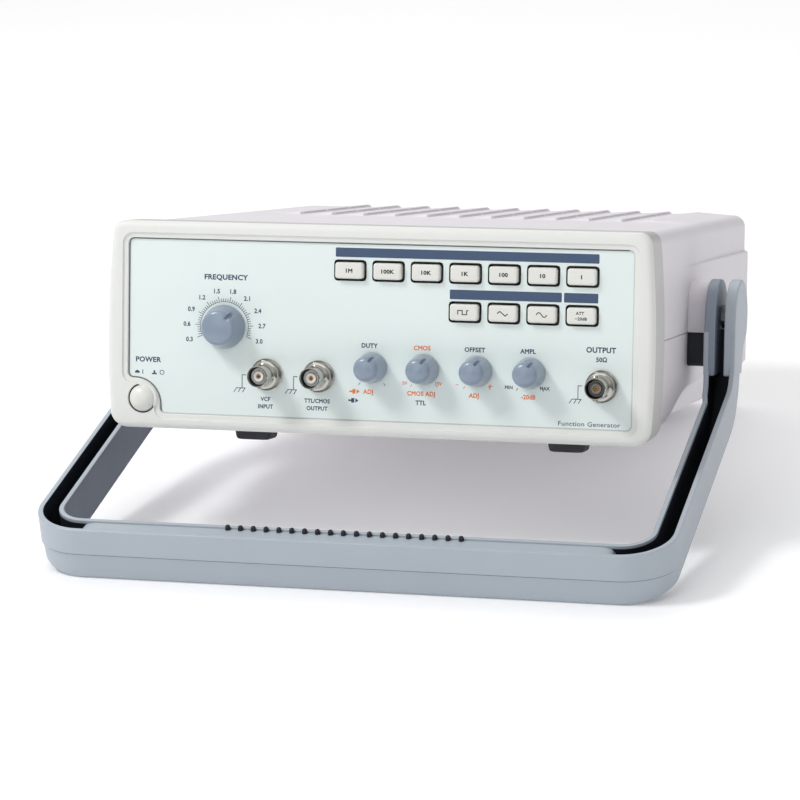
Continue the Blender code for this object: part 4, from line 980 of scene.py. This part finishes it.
def handle_stations():
    """Channel sections along the right half of the handle, from the ear to the bar's middle."""
    reach = (EAR_FRONT_Y - BAR_LIP.y) / math.cos(ARM_SLOPE)
    bar_lip = BAR_LIP + RIGHT * HANDLE_HALF
    bend = bar_lip - FORWARD * reach
    upright = Vector((0.0, -1.0, 0.0))
    ear_lip = Vector((HANDLE_HALF, EAR_FRONT_Y, WEB_TOP))
    rings = [channel_section(ear_lip, -RIGHT, upright, EAR_WIDTH, ARM_DEPTH)]
    turn = math.pi / 2 - ARM_SLOPE
    radius = 14.0
    pull_back = radius * math.tan(turn / 2)
    start = bend + Vector((0.0, 0.0, pull_back))
    centre = start + upright * radius
    for index in range(7):
        share = index / 6
        angle = turn * share
        normal = Vector((0.0, -math.cos(angle), math.sin(angle)))
        width = EAR_WIDTH + (ARM_WIDTH - EAR_WIDTH) * 0.5 * share
        rings.append(channel_section(centre - normal * radius, -RIGHT, normal, width, ARM_DEPTH))
    straight = FORWARD * (reach - CORNER_RADIUS - 30.0)
    for along in (FORWARD * (pull_back + 8.0), straight * 0.35, straight * 0.7, straight):
        rings.append(channel_section(bend + along, -RIGHT, OPEN_SIDE, ARM_WIDTH, ARM_DEPTH))
    middle = bar_lip - FORWARD * CORNER_RADIUS - RIGHT * CORNER_RADIUS
    for index in range(19):
        angle = math.pi / 2 * index / 18
        out = RIGHT * math.cos(angle) + FORWARD * math.sin(angle)
        depth = ARM_DEPTH + (BAR_DEPTH - ARM_DEPTH) * math.sin(angle)
        rings.append(channel_section(middle + out * CORNER_RADIUS, -out, OPEN_SIDE, ARM_WIDTH, depth))
    return rings


def build_handle():
    """The U-shaped channel handle with its two forked ears."""
    half = handle_stations()
    other = [[(-x, y, z) for x, y, z in ring] for ring in reversed(half)]
    mesh = bmesh.new()
    rings = [ring_verts(mesh, ring) for ring in half + other]
    count = len(rings[0])
    for ring, following in zip(rings, rings[1:]):
        for index in range(count):
            after = (index + 1) % count
            face = mesh.faces.new((ring[index], ring[after], following[after], following[index]))
            face.material_index = SECTION_LOOKS.get(index, 0)
            # the arms' walls that face the case take painted shade
            if index in INNER_WALL and abs(face.calc_center_median().x) > INNER_WALL_X:
                face.material_index = 3
    mesh.faces.new(rings[0])
    mesh.faces.new(rings[-1])
    finish_piece("handle_channel", mesh, ["handle", "handle_inside", "crease_painted_shadow", "arm_wall_painted_shade"],
                 "handle_assembly", ["handle"], sharp=30.0)
    outline = [(100.2, 24.0), (100.2, 44.5)] + arc((PIVOT.y, PIVOT.z), EAR_RADIUS, 170, -32, 26)
    outline += [(125.6, 36.0), (122.6, 30.0), (121.8, 24.0)]
    inner_face = HANDLE_HALF - EAR_WIDTH
    for sign, side in SIDES:
        for part, near in (("inner", inner_face + 0.12), ("outer", HANDLE_HALF - EAR_PLATE - 0.12)):
            plate = bmesh.new()
            prism(plate, outline, sign * near, sign * (near + EAR_PLATE), "X")
            # the inner plates are a darker copy of the handle: painted shade
            look = "ear_plate_painted_shade" if part == "inner" else "handle"
            finish_piece(f"ear_{part}_{side}", plate, [look], "handle_assembly", sharp=35.0,
                         bevel=0.8, steps=3)
        web = bmesh.new()
        prism(web, [(118.0, 24.0), (121.5, 24.0), (121.9, 30.0), (124.4, 36.0), (124.0, 44.6), (118.0, 44.6)],
              sign * (inner_face + 3.0), sign * (HANDLE_HALF - 3.0), "X")
        finish_piece(f"ear_web_{side}", web, ["handle_inside"], "handle_assembly",
                     bevel=0.3)


def build_grip():
    """The grip that fills the bar's channel, and the row of dark studs along its inner lip."""
    pitch, count = 5.8, 19
    near, far = 2.45, ARM_WIDTH - 2.45

    def spot(x, across, up):
        return tuple(BAR_LIP + RIGHT * x - FORWARD * across + OPEN_SIDE * up)

    bed = bmesh.new()
    profile = [(near, -9.0), (near, -0.9), (near + 0.35, -0.62), (near + 2.4, -0.5), (far - 2.4, -0.5),
               (far - 0.35, -0.62), (far, -0.9), (far, -9.0)]
    half = [(112.0, 0.0), (115.0, 0.2), (117.5, 0.9), (119.0, 2.4)]
    ends = mirrored(half) + [(0.0, 0.0)] + half
    loft(bed, [[spot(x, across, up - drop) for across, up in profile] for x, drop in ends])
    finish_piece("grip_bed", bed, ["handle"], "handle_assembly", sharp=45.0)
    studs = bmesh.new()
    middle = far - 0.75
    for index in range(count):
        x = pitch * (index - (count - 1) / 2)
        rings = []
        for up, grow in ((-0.9, 1.1), (0.2, 1.0), (0.9, 0.94), (1.35, 0.74), (1.6, 0.36)):
            turns = [2 * math.pi * step / 16 for step in range(16)]
            rings.append([spot(x + 1.15 * grow * math.cos(turn), middle + 1.25 * grow * math.sin(turn), up)
                          for turn in turns])
        loft(studs, rings)
    finish_piece("grip_studs", studs, ["navy"], "handle_assembly", ["handle_grip"],
                 sharp=45.0)


def build_pivots():
    """The lugs between case and ears: the upper half matches the cover, the lower one is painted dark as painted
    shade under the ear.
    """
    half, top, bottom, corner = 9.0, 66.4, 27.6, 2.0
    upper = [(PIVOT.y + half, PARTING_LINE)] + arc((PIVOT.y, top - half), half, 0, 180, 28)
    upper.append((PIVOT.y - half, PARTING_LINE))
    low = PARTING_LINE - 0.25
    lower = arc((PIVOT.y + half - corner, bottom + corner), corner, -90, 0, 4)
    lower += [(PIVOT.y + half, low), (PIVOT.y - half, low)]
    lower += arc((PIVOT.y - half + corner, bottom + corner), corner, 180, 270, 4)
    start, end = BELT_HALF - 0.1, HANDLE_HALF - EAR_WIDTH - 0.3
    for sign, side in SIDES:
        for part, outline, look, replaced in (("upper", upper, "cover", [f"pivot_hub_{side}"]),
                                              ("lower", lower, "navy", [])):
            mesh = bmesh.new()
            prism(mesh, outline, sign * start, sign * end, "X")
            finish_piece(f"pivot_lug_{part}_{side}", mesh, [look], "case", replaced,
                         sharp=35.0, bevel=0.5, steps=3)


# ---------------- carried-over nodes
def dress_nodes():
    """Give every CAD node that stays its procedural material."""
    by_slot = {"case_cover": "cover", "bezel_plastic": "bezel", "panel_print": "panel",
               "handle_plastic": "handle", "navy_plastic": "navy", "button_cap": "button",
               "knob_plastic": "knob", "foot_rubber": "rubber", "nickel": "nickel", "steel": "steel",
               "gold_contact": "gold", "insulator": "ptfe", "circuit_board": "board",
               "black_plastic": "black", "rear_sheet": "rear", "laminations": "core", "coil_tape": "coil",
               "switch_body": "switch"}
    slots = {part["node"]: part["material_slot"] for part in frame["record"]["subparts"]}
    for name, node in frame["nodes"].items():
        look = LOOKS[by_slot[slots[name]]]
        if not node.material_slots:
            node.data.materials.append(look)
        for place in node.material_slots:
            place.material = look


# ---------------- stage
def area_light(name, spot, target, size, watts):
    """A square soft light aimed at a point."""
    data = bpy.data.lights.new(name, "AREA")
    data.shape = "SQUARE"
    data.size = size
    data.energy = watts
    lamp = bpy.data.objects.new(name, data)
    bpy.context.scene.collection.objects.link(lamp)
    lamp.location = spot
    lamp.rotation_euler = (Vector(target) - Vector(spot)).to_track_quat("-Z", "Y").to_euler()


def studio_world():
    """A room that is bright overhead and dim round the horizon, so that metal shows contrast."""
    world = bpy.data.worlds.new("studio")
    world.use_nodes = True
    nodes, links = world.node_tree.nodes, world.node_tree.links
    place = nodes.new("ShaderNodeTexCoord")
    split = nodes.new("ShaderNodeSeparateXYZ")
    ramp = nodes.new("ShaderNodeValToRGB")
    stops = ((0.08, (0.28, 0.28, 0.29, 1.0)), (0.45, (1.0, 1.0, 1.0, 1.0)))
    for element, (position, colour) in zip(ramp.color_ramp.elements, stops):
        element.position = position
        element.color = colour
    links.new(place.outputs["Generated"], split.inputs["Vector"])
    links.new(split.outputs["Z"], ramp.inputs["Fac"])
    links.new(ramp.outputs["Color"], nodes["Background"].inputs["Color"])
    nodes["Background"].inputs["Strength"].default_value = 0.65
    return world


def build_stage():
    """Floor, lights, world and camera."""
    scene = bpy.context.scene
    floor = bpy.data.objects.new("floor", bpy.data.meshes.new("floor"))
    reach = 12.0
    corners = [(-reach, -reach, 0), (reach, -reach, 0), (reach, reach, 0), (-reach, reach, 0)]
    floor.data.from_pydata(corners, [], [(0, 1, 2, 3)])
    floor.data.materials.append(LOOKS["floor"])
    glow = LOOKS["floor"].node_tree.nodes["Principled BSDF"]
    glow.inputs["Emission Color"].default_value = (1.0, 1.0, 1.0, 1.0)
    glow.inputs["Emission Strength"].default_value = FLOOR_GLOW
    scene.collection.objects.link(floor)
    middle = (0.0, 0.0, 0.06)
    area_light("key", (-0.95, -0.85, 1.5), middle, 0.45, 14.0)
    area_light("front", (-0.5, -2.4, 1.0), middle, 1.2, 4.0)
    area_light("back", (-0.4, 1.5, 2.0), middle, 1.6, 11.0)
    scene.world = studio_world()
    scene.view_settings.view_transform = "Standard"
    lens = bpy.data.cameras.new("camera")
    lens.lens = CAMERA_LENS
    lens.sensor_width = 36.0
    camera = bpy.data.objects.new("camera", lens)
    scene.collection.objects.link(camera)
    angles = [math.radians(a) for a in CAMERA_DEGREES]
    upright = CASE @ Matrix.Scale(1 / MM, 4)
    camera.matrix_world = (Matrix.Translation(CASE @ CAMERA_SPOT)
                           @ upright.to_3x3().to_4x4() @ Euler(angles).to_matrix().to_4x4())
    scene.camera = camera


dress_nodes()
build_stage()
build_bezel()
build_covers()
build_rear_sheet()
build_rear()
build_feet()
build_print()
build_buttons()
build_power_button()
build_knobs()
build_connector("vcf_input", -50.4, "ptfe")
build_connector("ttl_output", -26.2, "ptfe")
build_connector("main_output", 102.0, "grey_insulator")
build_handle()
build_grip()
build_pivots()
